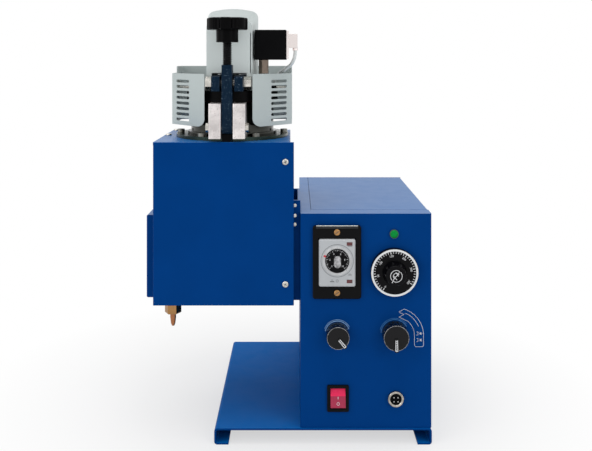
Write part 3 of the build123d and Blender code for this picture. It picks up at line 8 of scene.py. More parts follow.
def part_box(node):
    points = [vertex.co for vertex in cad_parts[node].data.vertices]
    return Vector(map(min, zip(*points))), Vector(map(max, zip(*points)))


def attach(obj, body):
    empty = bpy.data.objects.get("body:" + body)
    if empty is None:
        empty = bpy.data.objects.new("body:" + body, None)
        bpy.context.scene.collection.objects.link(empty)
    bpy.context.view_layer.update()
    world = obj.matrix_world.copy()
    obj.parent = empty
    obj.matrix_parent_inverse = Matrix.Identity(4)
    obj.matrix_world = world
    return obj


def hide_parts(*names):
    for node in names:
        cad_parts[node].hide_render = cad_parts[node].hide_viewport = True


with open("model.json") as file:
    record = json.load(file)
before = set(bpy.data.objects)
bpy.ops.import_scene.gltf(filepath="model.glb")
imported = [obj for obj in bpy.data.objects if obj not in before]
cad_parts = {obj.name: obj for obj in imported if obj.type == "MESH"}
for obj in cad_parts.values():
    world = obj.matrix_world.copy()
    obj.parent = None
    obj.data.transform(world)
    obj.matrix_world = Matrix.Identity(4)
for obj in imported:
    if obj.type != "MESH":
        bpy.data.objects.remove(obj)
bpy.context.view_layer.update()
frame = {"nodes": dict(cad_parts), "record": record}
MM = 0.001


# Materials

LIGHTEST_LIFT = 0.002
SPECK_EDGE = 0.03
LEAST_ROUGHNESS = 0.02
GLOSS_PER_PATCH = 3
COAT_ROUGHNESS = 0.08


def new_material(name):
    mat = bpy.data.materials.new(name)
    mat.use_nodes = True
    return mat, mat.node_tree, mat.node_tree.nodes["Principled BSDF"]


def coords(tree):
    return tree.nodes.new("ShaderNodeTexCoord").outputs["Object"]


def noise(tree, vector, scale, detail, rough=0.5, stretch=None):
    if stretch:
        mapping = tree.nodes.new("ShaderNodeMapping")
        mapping.inputs["Scale"].default_value = stretch
        tree.links.new(vector, mapping.inputs["Vector"])
        vector = mapping.outputs["Vector"]
    node = tree.nodes.new("ShaderNodeTexNoise")
    node.inputs["Scale"].default_value = scale
    node.inputs["Detail"].default_value = detail
    node.inputs["Roughness"].default_value = rough
    tree.links.new(vector, node.inputs["Vector"])
    return node.outputs["Fac"]


def spread(tree, value, low, high, start=0.3, end=0.7):
    """Maps start..end of a value to low..high."""
    node = tree.nodes.new("ShaderNodeMapRange")
    node.inputs["From Min"].default_value = start
    node.inputs["From Max"].default_value = end
    node.inputs["To Min"].default_value = low
    node.inputs["To Max"].default_value = high
    tree.links.new(value, node.inputs["Value"])
    return node.outputs["Result"]


def two_tone(tree, value, first, second, start=0.3, end=0.7):
    node = tree.nodes.new("ShaderNodeValToRGB")
    node.color_ramp.elements[0].position = start
    node.color_ramp.elements[0].color = (*first, 1)
    node.color_ramp.elements[1].position = end
    node.color_ramp.elements[1].color = (*second, 1)
    tree.links.new(value, node.inputs["Fac"])
    return node.outputs["Color"]


def bump(tree, height, distance, soft_edge):
    """A fine surface, with edges that are rounded for the light alone."""
    node = tree.nodes.new("ShaderNodeBump")
    node.inputs["Distance"].default_value = distance
    tree.links.new(height, node.inputs["Height"])
    if soft_edge:
        bevel = tree.nodes.new("ShaderNodeBevel")
        bevel.samples = 4
        bevel.inputs["Radius"].default_value = soft_edge
        tree.links.new(bevel.outputs["Normal"], node.inputs["Normal"])
    return node.outputs["Normal"]


def on_top(tree, upright, top, start=0.5, end=0.9):
    """One value on upright faces and another on faces that look up."""
    parts = tree.nodes.new("ShaderNodeSeparateXYZ")
    tree.links.new(tree.nodes.new("ShaderNodeTexCoord").outputs["Normal"], parts.inputs[0])
    return spread(tree, parts.outputs["Z"], upright, top, start, end)


def blend(tree, mask, under, over):
    """Another colour laid over the first where the mask is 1."""
    mix = tree.nodes.new("ShaderNodeMix")
    mix.data_type = "RGBA"
    mix.inputs["B"].default_value = (*over, 1)
    tree.links.new(mask, mix.inputs["Factor"])
    tree.links.new(under, mix.inputs["A"])
    return mix.outputs["Result"]


def surface(name, color, roughness, metallic=0.0, vary=0.06, grain=(900, 0.00002), patch=18,
            specular=0.5, coat=0.0, stretch=None, soft_edge=0.0004, specks=None, rough_vary=0.08,
            top_specular=None, top_painted_light=None, top_range=(0.5, 0.9)):
    """Colour drift, uneven gloss and a fine surface, all from noise in the object's own space.

    patch is the scale of the drift, vary its strength, grain the scale and height of the fine surface,
    and specks the scale, threshold and colour of small spots. The top_ values hold on faces that look up;
    the top colour paints light or shade on those faces, lighter or darker for how the light falls on them.
    """
    mat, tree, shader = new_material(name)
    place = coords(tree)
    drift = noise(tree, place, patch, detail=4.0, rough=0.55)
    dark = [c * (1 - vary) for c in color]
    light = [min(1.0, c * (1 + vary) + vary * LIGHTEST_LIFT) for c in color]
    tone = two_tone(tree, drift, dark, light)
    if specks:
        size, amount, shade = specks
        spots = noise(tree, place, size, detail=2.0)
        tone = blend(tree, spread(tree, spots, 0.0, 1.0, amount, amount + SPECK_EDGE), tone, shade)
    # Painted light: faces that look up get another colour, lighter or darker for how the light falls on
    # them
    if top_painted_light:
        tone = blend(tree, on_top(tree, 0.0, 1.0, *top_range), tone, top_painted_light)
    tree.links.new(tone, shader.inputs["Base Color"])
    gloss = noise(tree, place, patch * GLOSS_PER_PATCH, detail=3.0, rough=0.6, stretch=stretch)
    smoothest = max(LEAST_ROUGHNESS, roughness - rough_vary)
    roughest = min(1.0, roughness + rough_vary)
    tree.links.new(spread(tree, gloss, smoothest, roughest), shader.inputs["Roughness"])
    grain_scale, grain_height = grain
    fine_grain = noise(tree, place, grain_scale, detail=2.0, stretch=stretch)
    tree.links.new(bump(tree, fine_grain, grain_height, soft_edge), shader.inputs["Normal"])
    shader.inputs["Metallic"].default_value = metallic
    shader.inputs["Specular IOR Level"].default_value = specular
    if top_specular:
        tree.links.new(on_top(tree, specular, top_specular), shader.inputs["Specular IOR Level"])
    shader.inputs["Coat Weight"].default_value = coat
    shader.inputs["Coat Roughness"].default_value = COAT_ROUGHNESS
    return mat


def print_and_painted_light(name, color, roughness=0.4, vary=0.3, patch=200):
    """Ink on a panel or a dial, and the same flat finish for marks of painted reflection and painted
    shade.
    """
    return surface(name, color, roughness, vary=vary, grain=(2500, 0.00001), patch=patch, soft_edge=0.0)


# The look of each material slot
MATERIALS = {
    # Painted light: faces of the blue coat that look up get a lighter blue, for the light that falls on
    # them
    "blue": surface(
        "powder_coat_blue", (0.0001, 0.042, 0.203), roughness=0.36, vary=0.05, grain=(700, 0.00002),
        specular=0.02, rough_vary=0.02, top_specular=0.36, top_painted_light=(0.001, 0.112, 0.355),
        soft_edge=0.0012),
    "navy": surface(
        "paint_navy", (0.0022, 0.012, 0.028), roughness=0.40, vary=0.2, grain=(500, 0.00006),
        specular=0.06, specks=(900, 0.665, (0.20, 0.28, 0.36))),
    "grey_sheet": surface(
        "paint_grey_guard", (0.50, 0.56, 0.555), roughness=0.45, vary=0.02, grain=(900, 0.00003),
        specular=0.25, soft_edge=0.0008),
    "steel": surface(
        "steel_turned", (0.20, 0.21, 0.20), roughness=0.30, metallic=1.0, vary=0.2, grain=(700, 0.00004),
        stretch=(1, 1, 12)),
    "polished": surface(
        "steel_polished", (0.42, 0.42, 0.41), roughness=0.15, metallic=1.0, vary=0.08,
        grain=(400, 0.00002), rough_vary=0.07),
    "aluminium": surface(
        "aluminium_milled", (0.70, 0.66, 0.65), roughness=0.42, metallic=1.0, vary=0.2, patch=90,
        grain=(260, 0.00012), stretch=(1, 1, 3), specks=(700, 0.62, (0.42, 0.37, 0.36))),
    "zinc": surface(
        "zinc_plate", (0.56, 0.54, 0.50), roughness=0.24, metallic=1.0, vary=0.28, patch=200,
        grain=(1200, 0.00003)),
    "brass": surface(
        "brass_plain", (0.37, 0.20, 0.08), roughness=0.28, metallic=1.0, vary=0.2, grain=(800, 0.00003),
        patch=60),
    "copper": surface(
        "copper_heated", (0.36, 0.15, 0.07), roughness=0.36, metallic=1.0, vary=0.25,
        grain=(700, 0.00004), patch=90),
    "black_metal": surface(
        "black_oxide", (0.003, 0.003, 0.0035), roughness=0.42, vary=0.2, grain=(500, 0.00006),
        specular=0.05),
    "black_plastic": surface(
        "black_gloss", (0.003, 0.003, 0.0035), roughness=0.2, vary=0.1, grain=(600, 0.00002),
        specular=0.08),
    "matte_black": surface(
        "black_matte", (0.003, 0.003, 0.0035), roughness=0.6, vary=0.15, grain=(1500, 0.00005),
        specular=0.04),
    "timer_silver": surface(
        "plastic_silver", (0.46, 0.48, 0.50), roughness=0.32, vary=0.04, grain=(1100, 0.00002),
        specular=0.4),
    "white_plastic": surface(
        "plastic_white", (0.80, 0.81, 0.82), roughness=0.35, vary=0.02, grain=(900, 0.00002)),
    # Painted light: faces of the red plastic that look up get a brighter red, for the light from above
    "red_plastic": surface(
        "plastic_red", (0.40, 0.038, 0.085), roughness=0.22, vary=0.06, grain=(500, 0.00002),
        specular=0.12, top_painted_light=(0.80, 0.03, 0.11), top_range=(0.26, 0.31)),
    "green_lens": surface(
        "lens_green", (0.0005, 0.25, 0.042), roughness=0.16, vary=0.3, grain=(1800, 0.00008), patch=300,
        specular=0.06, coat=0.04),
    "amber_lens": surface(
        "lens_dark_red", (0.085, 0.002, 0.004), roughness=0.15, vary=0.3, grain=(900, 0.00002),
        patch=300, coat=0.5),
    "seal_rubber": surface(
        "silicone_red", (0.045, 0.010, 0.008), roughness=0.55, vary=0.06, grain=(900, 0.00004),
        specular=0.1),
    "wool": surface(
        "mineral_wool", (0.66, 0.60, 0.46), roughness=0.95, vary=0.2, grain=(420, 0.0006), patch=120,
        specular=0.1),
    "board_green": surface(
        "board_green", (0.012, 0.13, 0.045), roughness=0.4, vary=0.15, grain=(900, 0.00003), patch=80),
    "core_steel": surface(
        "core_steel", (0.10, 0.10, 0.105), roughness=0.55, metallic=0.6, vary=0.2, grain=(500, 0.00008),
        stretch=(1, 30, 1)),
    "clear_lead": surface(
        "lead_pale", (0.74, 0.78, 0.77), roughness=0.24, vary=0.05, grain=(600, 0.00002), coat=0.5),
}
PRINT = print_and_painted_light("print_white", (0.82, 0.83, 0.85), roughness=0.5, vary=0.03, patch=18)
# Dark ink for print, also used as painted shade in the recesses of screw heads
DARK_PRINT_AND_SHADE = print_and_painted_light("print_dark_and_shade", (0.05, 0.055, 0.06), roughness=0.5, vary=0.1, patch=18)
RED_PRINT = print_and_painted_light("print_red", (0.55, 0.01, 0.02), roughness=0.45, vary=0.1, patch=18)
# Pale and mid blue for the arcs round the knobs, a painted reflection of their glossy sides
PALE_REFLECTION_ARC = print_and_painted_light("reflection_pale_blue", (0.22, 0.40, 0.66))
MID_REFLECTION_ARC = print_and_painted_light("reflection_mid_blue", (0.035, 0.17, 0.42))
THREAD_METAL = surface(
    "black_thread", (0.012, 0.012, 0.013), roughness=0.25, metallic=0.6, vary=0.3, grain=(700, 0.00003),
    patch=200, specular=0.2)
# Grey metal for the timer's grip cap, and for the thin rings of painted highlight on the knobs' faces
GRIP_AND_HIGHLIGHT_METAL = surface(
    "grip_metal_and_highlight", (0.36, 0.36, 0.37), roughness=0.25, metallic=1.0, vary=0.6, grain=(900, 0.00004),
    patch=420)
# Bright metal for the painted highlight along the timer's strip
STRIP_HIGHLIGHT_METAL = surface(
    "nickel_strip_highlight", (0.78, 0.78, 0.77), roughness=0.2, metallic=1.0, vary=0.06, grain=(900, 0.00003))
DIAL_GLOSS = surface(
    "dial_gloss", (0.002, 0.002, 0.003), roughness=0.16, vary=0.1, grain=(600, 0.00002), specular=0.09)
KNOB_GLOSS = surface(
    "knob_gloss", (0.003, 0.003, 0.004), roughness=0.10, vary=0.1, grain=(600, 0.00002), specular=0.2,
    rough_vary=0.04)

# Nodes that look different from the rest of their slot
LOOKS = {
    # Painted light: a copy of the blue coat whose faces that look up are lighter still, for the light that
    # falls on the base plate
    "base_plate": surface(
        "powder_coat_base_painted_light", (0.0001, 0.042, 0.203), roughness=0.42, vary=0.05, grain=(700, 0.00004),
        specular=0.02, rough_vary=0.06, top_painted_light=(0.0006, 0.125, 0.44)),
    # Painted light and shade: a lighter copy of the guard grey for the light the tall hood catches, and a
    # darker colour on its faces that look up, a painted shade
    "hood": surface(
        "paint_grey_hood_painted_light", (0.69, 0.755, 0.75), roughness=0.45, vary=0.02, grain=(900, 0.00003),
        specular=0.25, top_painted_light=(0.42, 0.47, 0.465), top_range=(0.1, 0.9)),
    # Painted reflection: darkened copies of the steel for the ring and the pot, standing in for the dark
    # surroundings their polished faces reflect
    "flange_ring": surface(
        "steel_ring_painted_dark_reflection", (0.030, 0.045, 0.038), roughness=0.24, metallic=1.0, vary=0.35,
        grain=(700, 0.00004), patch=40, stretch=(1, 1, 12)),
    "pot": surface(
        "steel_pot_painted_dark_reflection", (0.040, 0.041, 0.037), roughness=0.14, metallic=1.0, vary=0.5,
        grain=(400, 0.00003), patch=70, rough_vary=0.05),
    "ring_screws": surface(
        "screws_dull", (0.20, 0.20, 0.18), roughness=0.3, metallic=1.0, vary=0.4, grain=(900, 0.00003),
        patch=200),
    "timer_strip": surface(
        "strip_dark", (0.035, 0.036, 0.038), roughness=0.35, metallic=1.0, vary=0.3,
        grain=(900, 0.00003)),
    "timer_scale": surface(
        "scale_grey", (0.52, 0.53, 0.54), roughness=0.3, vary=0.2, grain=(900, 0.00002), patch=90,
        specular=0.4),
    "star_knob": surface(
        "star_black", (0.0015, 0.0015, 0.0018), roughness=0.3, vary=0.1, grain=(600, 0.00002),
        specular=0.04),
    "valve_stem": surface(
        "stem_dull", (0.21, 0.165, 0.135), roughness=0.12, metallic=1.0, vary=0.2, grain=(800, 0.00003),
        patch=60),
    "left_knob": KNOB_GLOSS,
    "right_knob": KNOB_GLOSS,
    "temperature_dial": DIAL_GLOSS,
    "connector_shell": surface(
        "shell_plated", (0.40, 0.37, 0.33), roughness=0.2, metallic=1.0, vary=0.45, grain=(900, 0.00003),
        patch=260),
    "valve_plug": surface(
        "nickel_plug", (0.80, 0.73, 0.71), roughness=0.22, metallic=1.0, vary=0.08, grain=(900, 0.00003)),
}

slot_of = {part["node"]: part["material_slot"] for part in frame["record"]["subparts"]}
for node, obj in frame["nodes"].items():
    obj.data.materials.clear()
    obj.data.materials.append(LOOKS.get(node, MATERIALS[slot_of[node]]))


# Small pieces: each is drawn in a plane, u to the right, v up and w out of it, in millimetres

def on_plane(origin, right, up):
    right, up = Vector(right), Vector(up)
    out = right.cross(up)
    place = Matrix((right, up, out)).transposed().to_4x4()
    return Matrix.Translation(Vector(origin) * MM) @ place @ Matrix.Scale(MM, 4)


def facing_front(x, y, z):
    return on_plane((x, y, z), (1, 0, 0), (0, 0, 1))


def polar(radius, degrees):
    angle = math.radians(degrees)
    return radius * math.cos(angle), radius * math.sin(angle)


def prism(bm, outline, height, hole=None):
    """A flat plate with the outline, and a hole with as many points as the outline where one is given."""
    low = [bm.verts.new((u, v, 0.0)) for u, v in outline]
    top = [bm.verts.new((u, v, height)) for u, v in outline]
    count = len(outline)
    for i in range(count):
        j = (i + 1) % count
        bm.faces.new((low[i], low[j], top[j], top[i]))
    if hole is None:
        bm.faces.new(top)
        bm.faces.new(low[::-1])
        return
    inner_low = [bm.verts.new((u, v, 0.0)) for u, v in hole]
    inner_top = [bm.verts.new((u, v, height)) for u, v in hole]
    for i in range(count):
        j = (i + 1) % count
        bm.faces.new((top[i], top[j], inner_top[j], inner_top[i]))
        bm.faces.new((low[j], low[i], inner_low[i], inner_low[j]))
        bm.faces.new((inner_low[j], inner_low[i], inner_top[i], inner_top[j]))


def circle(radius, centre=(0.0, 0.0), count=48):
    points = (polar(radius, 360 * i / count) for i in range(count))
    return [(centre[0] + u, centre[1] + v) for u, v in points]


def ring(bm, outer, inner, height, centre=(0.0, 0.0), count=48):
    prism(bm, circle(outer, centre, count), height, circle(inner, centre, count))


def arc(radius, start, end, centre=(0.0, 0.0), count=24):
    points = (polar(radius, start + (end - start) * i / count) for i in range(count + 1))
    return [(centre[0] + u, centre[1] + v) for u, v in points]


def stroke(bm, points, width, height):
    """A thin raised line along the points."""
    left, right = [], []
    for i, (u, v) in enumerate(points):
        before, after = points[max(i - 1, 0)], points[min(i + 1, len(points) - 1)]
        run = Vector((after[0] - before[0], after[1] - before[1])).normalized()
        side = Vector((-run.y, run.x)) * width / 2
        left.append((u + side.x, v + side.y))
        right.append((u - side.x, v - side.y))
    prism(bm, right + left[::-1], height)


def strokes(bm, lines):
    for points, width, height in lines:
        stroke(bm, points, width, height)


def tick(bm, degrees, inner, outer, width, height):
    """A line that points at the middle."""
    stroke(bm, [polar(inner, degrees), polar(outer, degrees)], width, height)


def number(bm, text, size, centre, turn, height):
    """A number, centred on a point of the plane and turned by some degrees."""
    curve = bpy.data.curves.new("figure", "FONT")
    curve.body = text
    curve.size = size
    curve.align_x = "CENTER"
    curve.align_y = "CENTER"
    curve.extrude = height / 2
    holder = bpy.data.objects.new("figure", curve)
    bpy.context.scene.collection.objects.link(holder)
    bpy.context.view_layer.update()
    mesh = bpy.data.meshes.new_from_object(holder.evaluated_get(bpy.context.evaluated_depsgraph_get()))
    turned = Matrix.Rotation(math.radians(turn), 4, "Z")
    mesh.transform(Matrix.Translation((centre[0], centre[1], height / 2)) @ turned)
    bm.from_mesh(mesh)
    bpy.data.objects.remove(holder)
    bpy.data.curves.remove(curve)
    bpy.data.meshes.remove(mesh)


def turn_all(bm, degrees):
    bmesh.ops.rotate(
        bm, verts=bm.verts, cent=(0, 0, 0), matrix=Matrix.Rotation(math.radians(degrees), 3, "Z"))


def settle(bm, name, place, body, mat):
    """Turns what was drawn into a piece of the object that rides on a body."""
    bmesh.ops.recalc_face_normals(bm, faces=bm.faces)
    mesh = bpy.data.meshes.new(name)
    bm.to_mesh(mesh)
    bm.free()
    mesh.transform(place)
    for polygon in mesh.polygons:
        polygon.use_smooth = False
    mesh.materials.append(mat)
    obj = bpy.data.objects.new(name, mesh)
    bpy.context.scene.collection.objects.link(obj)
    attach(obj, body)
    return obj


def middle(node):
    low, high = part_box(node)
    return [(a + b) / 2 / MM for a, b in zip(low, high)]


def front_of(node):
    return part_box(node)[0][1] / MM


def radius_across(node):
    low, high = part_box(node)
    return (high[0] - low[0]) / 2 / MM


joints = {joint["name"]: joint for joint in frame["record"]["behaviour"]["joints"]}


def axis_of(joint):
    """Where the axis of a joint stands, in millimetres."""
    return [value / MM for value in joints[joint]["pos_m"]]


panel_y = front_of("control_chassis")
panel_print = 0.06

# Temperature dial: white rim, ticks and numbers
dial_x, _, dial_z = axis_of("temperature_turn")
dial_radius = radius_across("temperature_dial")
dial_flange = 7.0
rim_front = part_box("temperature_dial")[1][1] / MM - dial_flange
rim_outer = dial_radius - 0.4
rim_inner = dial_radius - 2.7
rim_rise = 0.12
face_setback = 1.0
dial_print = 0.1
first_turn = 236
tick_turn = 7.5
ticks_per_number = 6
number_step = 50
number_count = 7
number_radius = 18.6
number_size = 3.2
tick_outer = dial_radius - 3.1
short_tick_inner = dial_radius - 5.2
short_tick_width = 0.65
long_tick_inner = dial_radius - 5.9
long_tick_width = 0.8
bm = bmesh.new()
ring(bm, rim_outer, rim_inner, rim_rise, count=96)
settle(bm, "dial_rim", facing_front(dial_x, rim_front, dial_z), "temperature_setting",
       MATERIALS["white_plastic"])
bm = bmesh.new()
for i in range((number_count - 1) * ticks_per_number + 1):
    degrees = first_turn - i * tick_turn
    if i % ticks_per_number == 0:
        tick(bm, degrees, long_tick_inner, tick_outer, long_tick_width, dial_print)
    else:
        tick(bm, degrees, short_tick_inner, tick_outer, short_tick_width, dial_print)
for i in range(number_count):
    degrees = first_turn - i * ticks_per_number * tick_turn
    number(bm, str(i * number_step), number_size, polar(number_radius, degrees), degrees - 90, dial_print)
settle(bm, "dial_figures", facing_front(dial_x, rim_front + face_setback, dial_z), "temperature_setting",
       PRINT)

# Round mark on the dial's hub: points, width and height of each line
hub_mark_radius = 6.4
hub_curl_radius = 3.4
hub_mark = (
    (arc(hub_mark_radius, 60, 225), 0.55, 0.03),
    (arc(hub_mark_radius, 240, 405), 0.55, 0.03),
    (arc(hub_curl_radius, 25, 215), 0.5, 0.03),
    ([(-4.8, -7.4), (-1.6, -1.2), (1.6, 1.2), (3.6, 5.4)], 0.6, 0.04),
    ([(-2.6, 0.2), (0.6, -4.2)], 0.55, 0.035),
    ([(2.6, 0.0), (-0.6, 4.2)], 0.55, 0.035),
)
bm = bmesh.new()
strokes(bm, hub_mark)
settle(bm, "dial_hub_mark", facing_front(dial_x, front_of("temperature_dial"), dial_z),
       "temperature_setting", PRINT)

# Marks on the timer's face: a ring, and small signs below and beside it
timer_x, _, timer_z = axis_of("timer_turn")
face_ring_outer = 18.2
face_ring_inner = 17.8
face_ring_rise = 0.05
sign_outer = 1.5
sign_inner = 1.1
sign_centre = (0.0, -22.4)
bm = bmesh.new()
ring(bm, face_ring_outer, face_ring_inner, face_ring_rise, count=64)
strokes(bm, (
    ([(-8.0, -23.2), (-3.2, -23.2)], 0.9, panel_print),
    ([(-6.6, -21.4), (-4.6, -21.4)], 0.6, panel_print),
))
ring(bm, sign_outer, sign_inner, panel_print, sign_centre, count=24)
strokes(bm, (
    ([(12.0, -15.8), (16.4, -15.8)], 0.5, panel_print),
    ([(14.2, -14.0), (14.2, -15.6)], 0.5, panel_print),
    ([(12.0, 16.0), (16.6, 16.0)], 0.4, panel_print),
))
settle(bm, "timer_face_marks", facing_front(timer_x, front_of("timer_case"), timer_z), "machine",
       DARK_PRINT_AND_SHADE)

# Ticks and red pointer on the timer's scale
timer_first_turn = 225
timer_tick_turn = 9
timer_tick_count = 31
ticks_per_mark = 3
short_scale_tick = (13.9, 14.7)
long_scale_tick = (13.7, 15.2)
scale_tick_width = 0.22
scale_print = 0.05
scale_place = facing_front(timer_x, front_of("timer_scale"), timer_z)
bm = bmesh.new()
for i in range(timer_tick_count):
    inner, outer = long_scale_tick if i % ticks_per_mark == 0 else short_scale_tick
    tick(bm, timer_first_turn - i * timer_tick_turn, inner, outer, scale_tick_width, scale_print)
settle(bm, "timer_scale_ticks", scale_place, "machine", DARK_PRINT_AND_SHADE)
pointer_width = 2.2
pointer_rise = 0.1
bm = bmesh.new()
stroke(bm, [(-15.0, 5.6), (-12.6, 4.7)], pointer_width, pointer_rise)
settle(bm, "timer_scale_pointer", scale_place, "machine", RED_PRINT)

# Ticks and numbers on the timer's dial
grip_height = 5.0
timer_print = 0.08
timer_tick_outer = 12.4
short_timer_tick = (11.4, 0.2)
long_timer_tick = (10.6, 0.32)
timer_number_count = 6
timer_number_step = 2
timer_number_turn = 54
timer_number_radius = 8.4
timer_number_size = 2.7
timer_dial_place = facing_front(timer_x, front_of("timer_dial") + grip_height, timer_z)
bm = bmesh.new()
for i in range(timer_tick_count):
    inner, width = long_timer_tick if i % ticks_per_mark == 0 else short_timer_tick
    tick(bm, timer_first_turn - i * timer_tick_turn, inner, timer_tick_outer, width, timer_print)
for i in range(timer_number_count):
    spot = polar(timer_number_radius, timer_first_turn - i * timer_number_turn)
    number(bm, str(i * timer_number_step), timer_number_size, spot, 0, timer_print)
settle(bm, "timer_dial_figures", timer_dial_place, "timer_setting", PRINT)

# Bright cap round the timer's grip
cap_radius = 3.9
cap_reach = 2.7
cap_rise = 0.25
foot_spread = (1.35, 1.05)
top_taper = (0.97, 0.99)
upper_end = [(u, v + cap_reach) for u, v in arc(cap_radius, 0, 180, count=16)]
lower_end = [(u, v - cap_reach) for u, v in arc(cap_radius, 180, 360, count=16)]
cap = upper_end + lower_end
bm = bmesh.new()
foot = [bm.verts.new((u * foot_spread[0], v * foot_spread[1], 0.0)) for u, v in cap]
top = [bm.verts.new((u * top_taper[0], v * top_taper[1], grip_height + cap_rise)) for u, v in cap]
for i in range(len(cap)):
    j = (i + 1) % len(cap)
    bm.faces.new((foot[i], foot[j], top[j], top[i]))
bm.faces.new(top)
bm.faces.new(foot[::-1])
settle(bm, "timer_grip_cap", timer_dial_place, "timer_setting", GRIP_AND_HIGHLIGHT_METAL)

# Knobs: node, body, joint, where the pointer stands, the ends of the pale blue arcs that are a painted
# reflection of the knob's glossy upper side, and their colour
KNOBS = (
    ("left_knob", "left_setting", "left_knob_turn", -50, 20, 170, PALE_REFLECTION_ARC),
    ("right_knob", "right_setting", "right_knob_turn", -90, 30, 178, MID_REFLECTION_ARC),
)


def knob_radius(node, axis_z):
    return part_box(node)[1][2] / MM - axis_z


# Pointer lines on the knobs: two edges, an end and slanted rungs between them
pointer_start = 1.5
pointer_inset = 0.6
half_start = 0.9
half_tip = 1.2
half_end = 1.3
half_rung = 0.8
rung_slant = 0.5
rung_count = 6
for node, body, joint, turn, _, _, _ in KNOBS:
    x, _, z = axis_of(joint)
    run = Vector(polar(1.0, turn))
    side = Vector((-run.y, run.x))
    start = run * pointer_start
    tip = run * (knob_radius(node, z) - pointer_inset)
    bm = bmesh.new()
    for shift in (-1.0, 1.0):
        edge = [tuple(start + side * shift * half_start), tuple(tip + side * shift * half_tip)]
        stroke(bm, edge, 0.6, 0.08)
    stroke(bm, [tuple(tip - side * half_end), tuple(tip + side * half_end)], 0.5, 0.09)
    for k in range(rung_count):
        spot = start.lerp(tip, (k + 0.5) / rung_count)
        rung = [tuple(spot - side * half_rung), tuple(spot + side * half_rung + run * rung_slant)]
        stroke(bm, rung, 0.4, 0.1)
    settle(bm, node + "_pointer", facing_front(x, front_of(node), z), body, PRINT)

# Marks on the rocker: a bar and a ring on its slanted lower face
rocker_x = middle("rocker")[0]
switch_z = middle("switch_body")[2]
rocker_print = 0.08
face_foot = Vector((0, -6.0, -12.2))
face_head = Vector((0, -2.6, 3.0))
bar_height = 1.2
bar_reach = 1.3
ring_height = -4.8


def on_rocker(v):
    """A plane on the lower face of the rocker, v millimetres above its middle."""
    run = (face_head - face_foot).normalized()
    spot = face_foot + run * ((v - face_foot.z) / run.z)
    return on_plane((rocker_x, panel_y + spot.y, switch_z + v), (1, 0, 0), run)


bm = bmesh.new()
stroke(bm, [(0.0, -bar_reach), (0.0, bar_reach)], 0.5, rocker_print)
settle(bm, "rocker_bar_mark", on_rocker(bar_height), "rocker_button", PRINT)
bm = bmesh.new()
ring(bm, 1.6, 1.3, rocker_print, count=32)
settle(bm, "rocker_ring_mark", on_rocker(ring_height), "rocker_button", PRINT)

# Printed bent arrow beside the right knob, drawn as an outline round a bend
knob_x, _, knob_z = axis_of("right_knob_turn")
arrow_x = knob_x + 1.1
arrow_z = knob_z - 4.6
line = 0.32
bend = (0.0, 2.0)
outer_radius = 31.2
inner_radius = 21.0
middle_radius = 27.4
foot_v = -10.5
corner = 2.0
outer_arc = arc(outer_radius, 0, 72, bend)
inner_arc = arc(inner_radius, 0, 50, bend)
bm = bmesh.new()
for points in (outer_arc, inner_arc, arc(middle_radius, 22, 66, bend)):
    stroke(bm, points, line, panel_print)
head = [outer_arc[-1], (3.5, 28.5), (9.2, 25.5), (3.5, 22.8), inner_arc[-1]]
for ends in zip(head, head[1:]):
    stroke(bm, list(ends), line, panel_print)
corner_v = foot_v + corner
right_corner = arc(corner, 0, -90, (outer_radius - corner, corner_v), 8)
left_corner = arc(corner, -90, -180, (inner_radius + corner, corner_v), 8)
right_side = [(outer_radius, bend[1]), (outer_radius, corner_v)]
left_side = [(inner_radius, bend[1])]
stroke(bm, right_side + right_corner + left_corner + left_side, line, panel_print)
star_u = 28.0
star_reach = 1.6
for v in (4.3, -3.0):
    for degrees in (0, 60, 120):
        u_reach, v_reach = polar(star_reach, degrees)
        stroke(bm, [(star_u - u_reach, v - v_reach), (star_u + u_reach, v + v_reach)], 0.42, panel_print)
    bracket = [(23.4, v - 1.8), (25.0, v - 1.8), (25.0, v + 1.8), (23.4, v + 1.8)]
    stroke(bm, bracket, 0.4, panel_print)
settle(bm, "panel_arrow", facing_front(arrow_x, panel_y, arrow_z), "machine", PRINT)

# Pale blue arcs round the upper side of the knobs, a painted reflection of their glossy sides, and thin
# bright rings on their faces, a painted highlight of the chamfer round each face
near_gap = 1.1
near_width = 0.9
far_gap = 2.6
far_width = 0.5
highlight_ring_setback = 2.0
highlight_ring_height = 0.45
for node, body, joint, _, start, end, arc_colour in KNOBS:
    x, _, z = axis_of(joint)
    radius = knob_radius(node, z)
    bm = bmesh.new()
    # Painted reflection: two pale blue arcs on the panel where the knob's glossy upper side shows the
    # light
    stroke(bm, arc(radius + near_gap, start, end), near_width, panel_print)
    stroke(bm, arc(radius + far_gap, start + 8, end - 10), far_width, panel_print)
    settle(bm, node + "_scale", facing_front(x, panel_y, z), "machine", arc_colour)
    # Painted highlight: a thin ring of bright metal on the chamfer at the edge of each knob's face
    bm = bmesh.new()
    ring(bm, radius - 0.35, radius - 0.75, highlight_ring_height, count=64)
    settle(bm, node + "_rim", facing_front(x, front_of(node) + highlight_ring_setback, z), body,
           GRIP_AND_HIGHLIGHT_METAL)

# Painted highlight along the upper edge of the timer's strip: a thin bright metal line where its bevel
# catches the light
strip_low, strip_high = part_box("timer_strip")
strip_reach = radius_across("timer_strip") - 0.4
strip_highlight_drop = 0.5
strip_highlight_width = 0.7
strip_highlight_rise = 0.08
bm = bmesh.new()
stroke(bm, [(-strip_reach, 0.0), (strip_reach, 0.0)], strip_highlight_width, strip_highlight_rise)
strip_place = facing_front(
    middle("timer_strip")[0], strip_low[1] / MM, strip_high[2] / MM - strip_highlight_drop)
settle(bm, "timer_strip_painted_highlight", strip_place, "machine", STRIP_HIGHLIGHT_METAL)

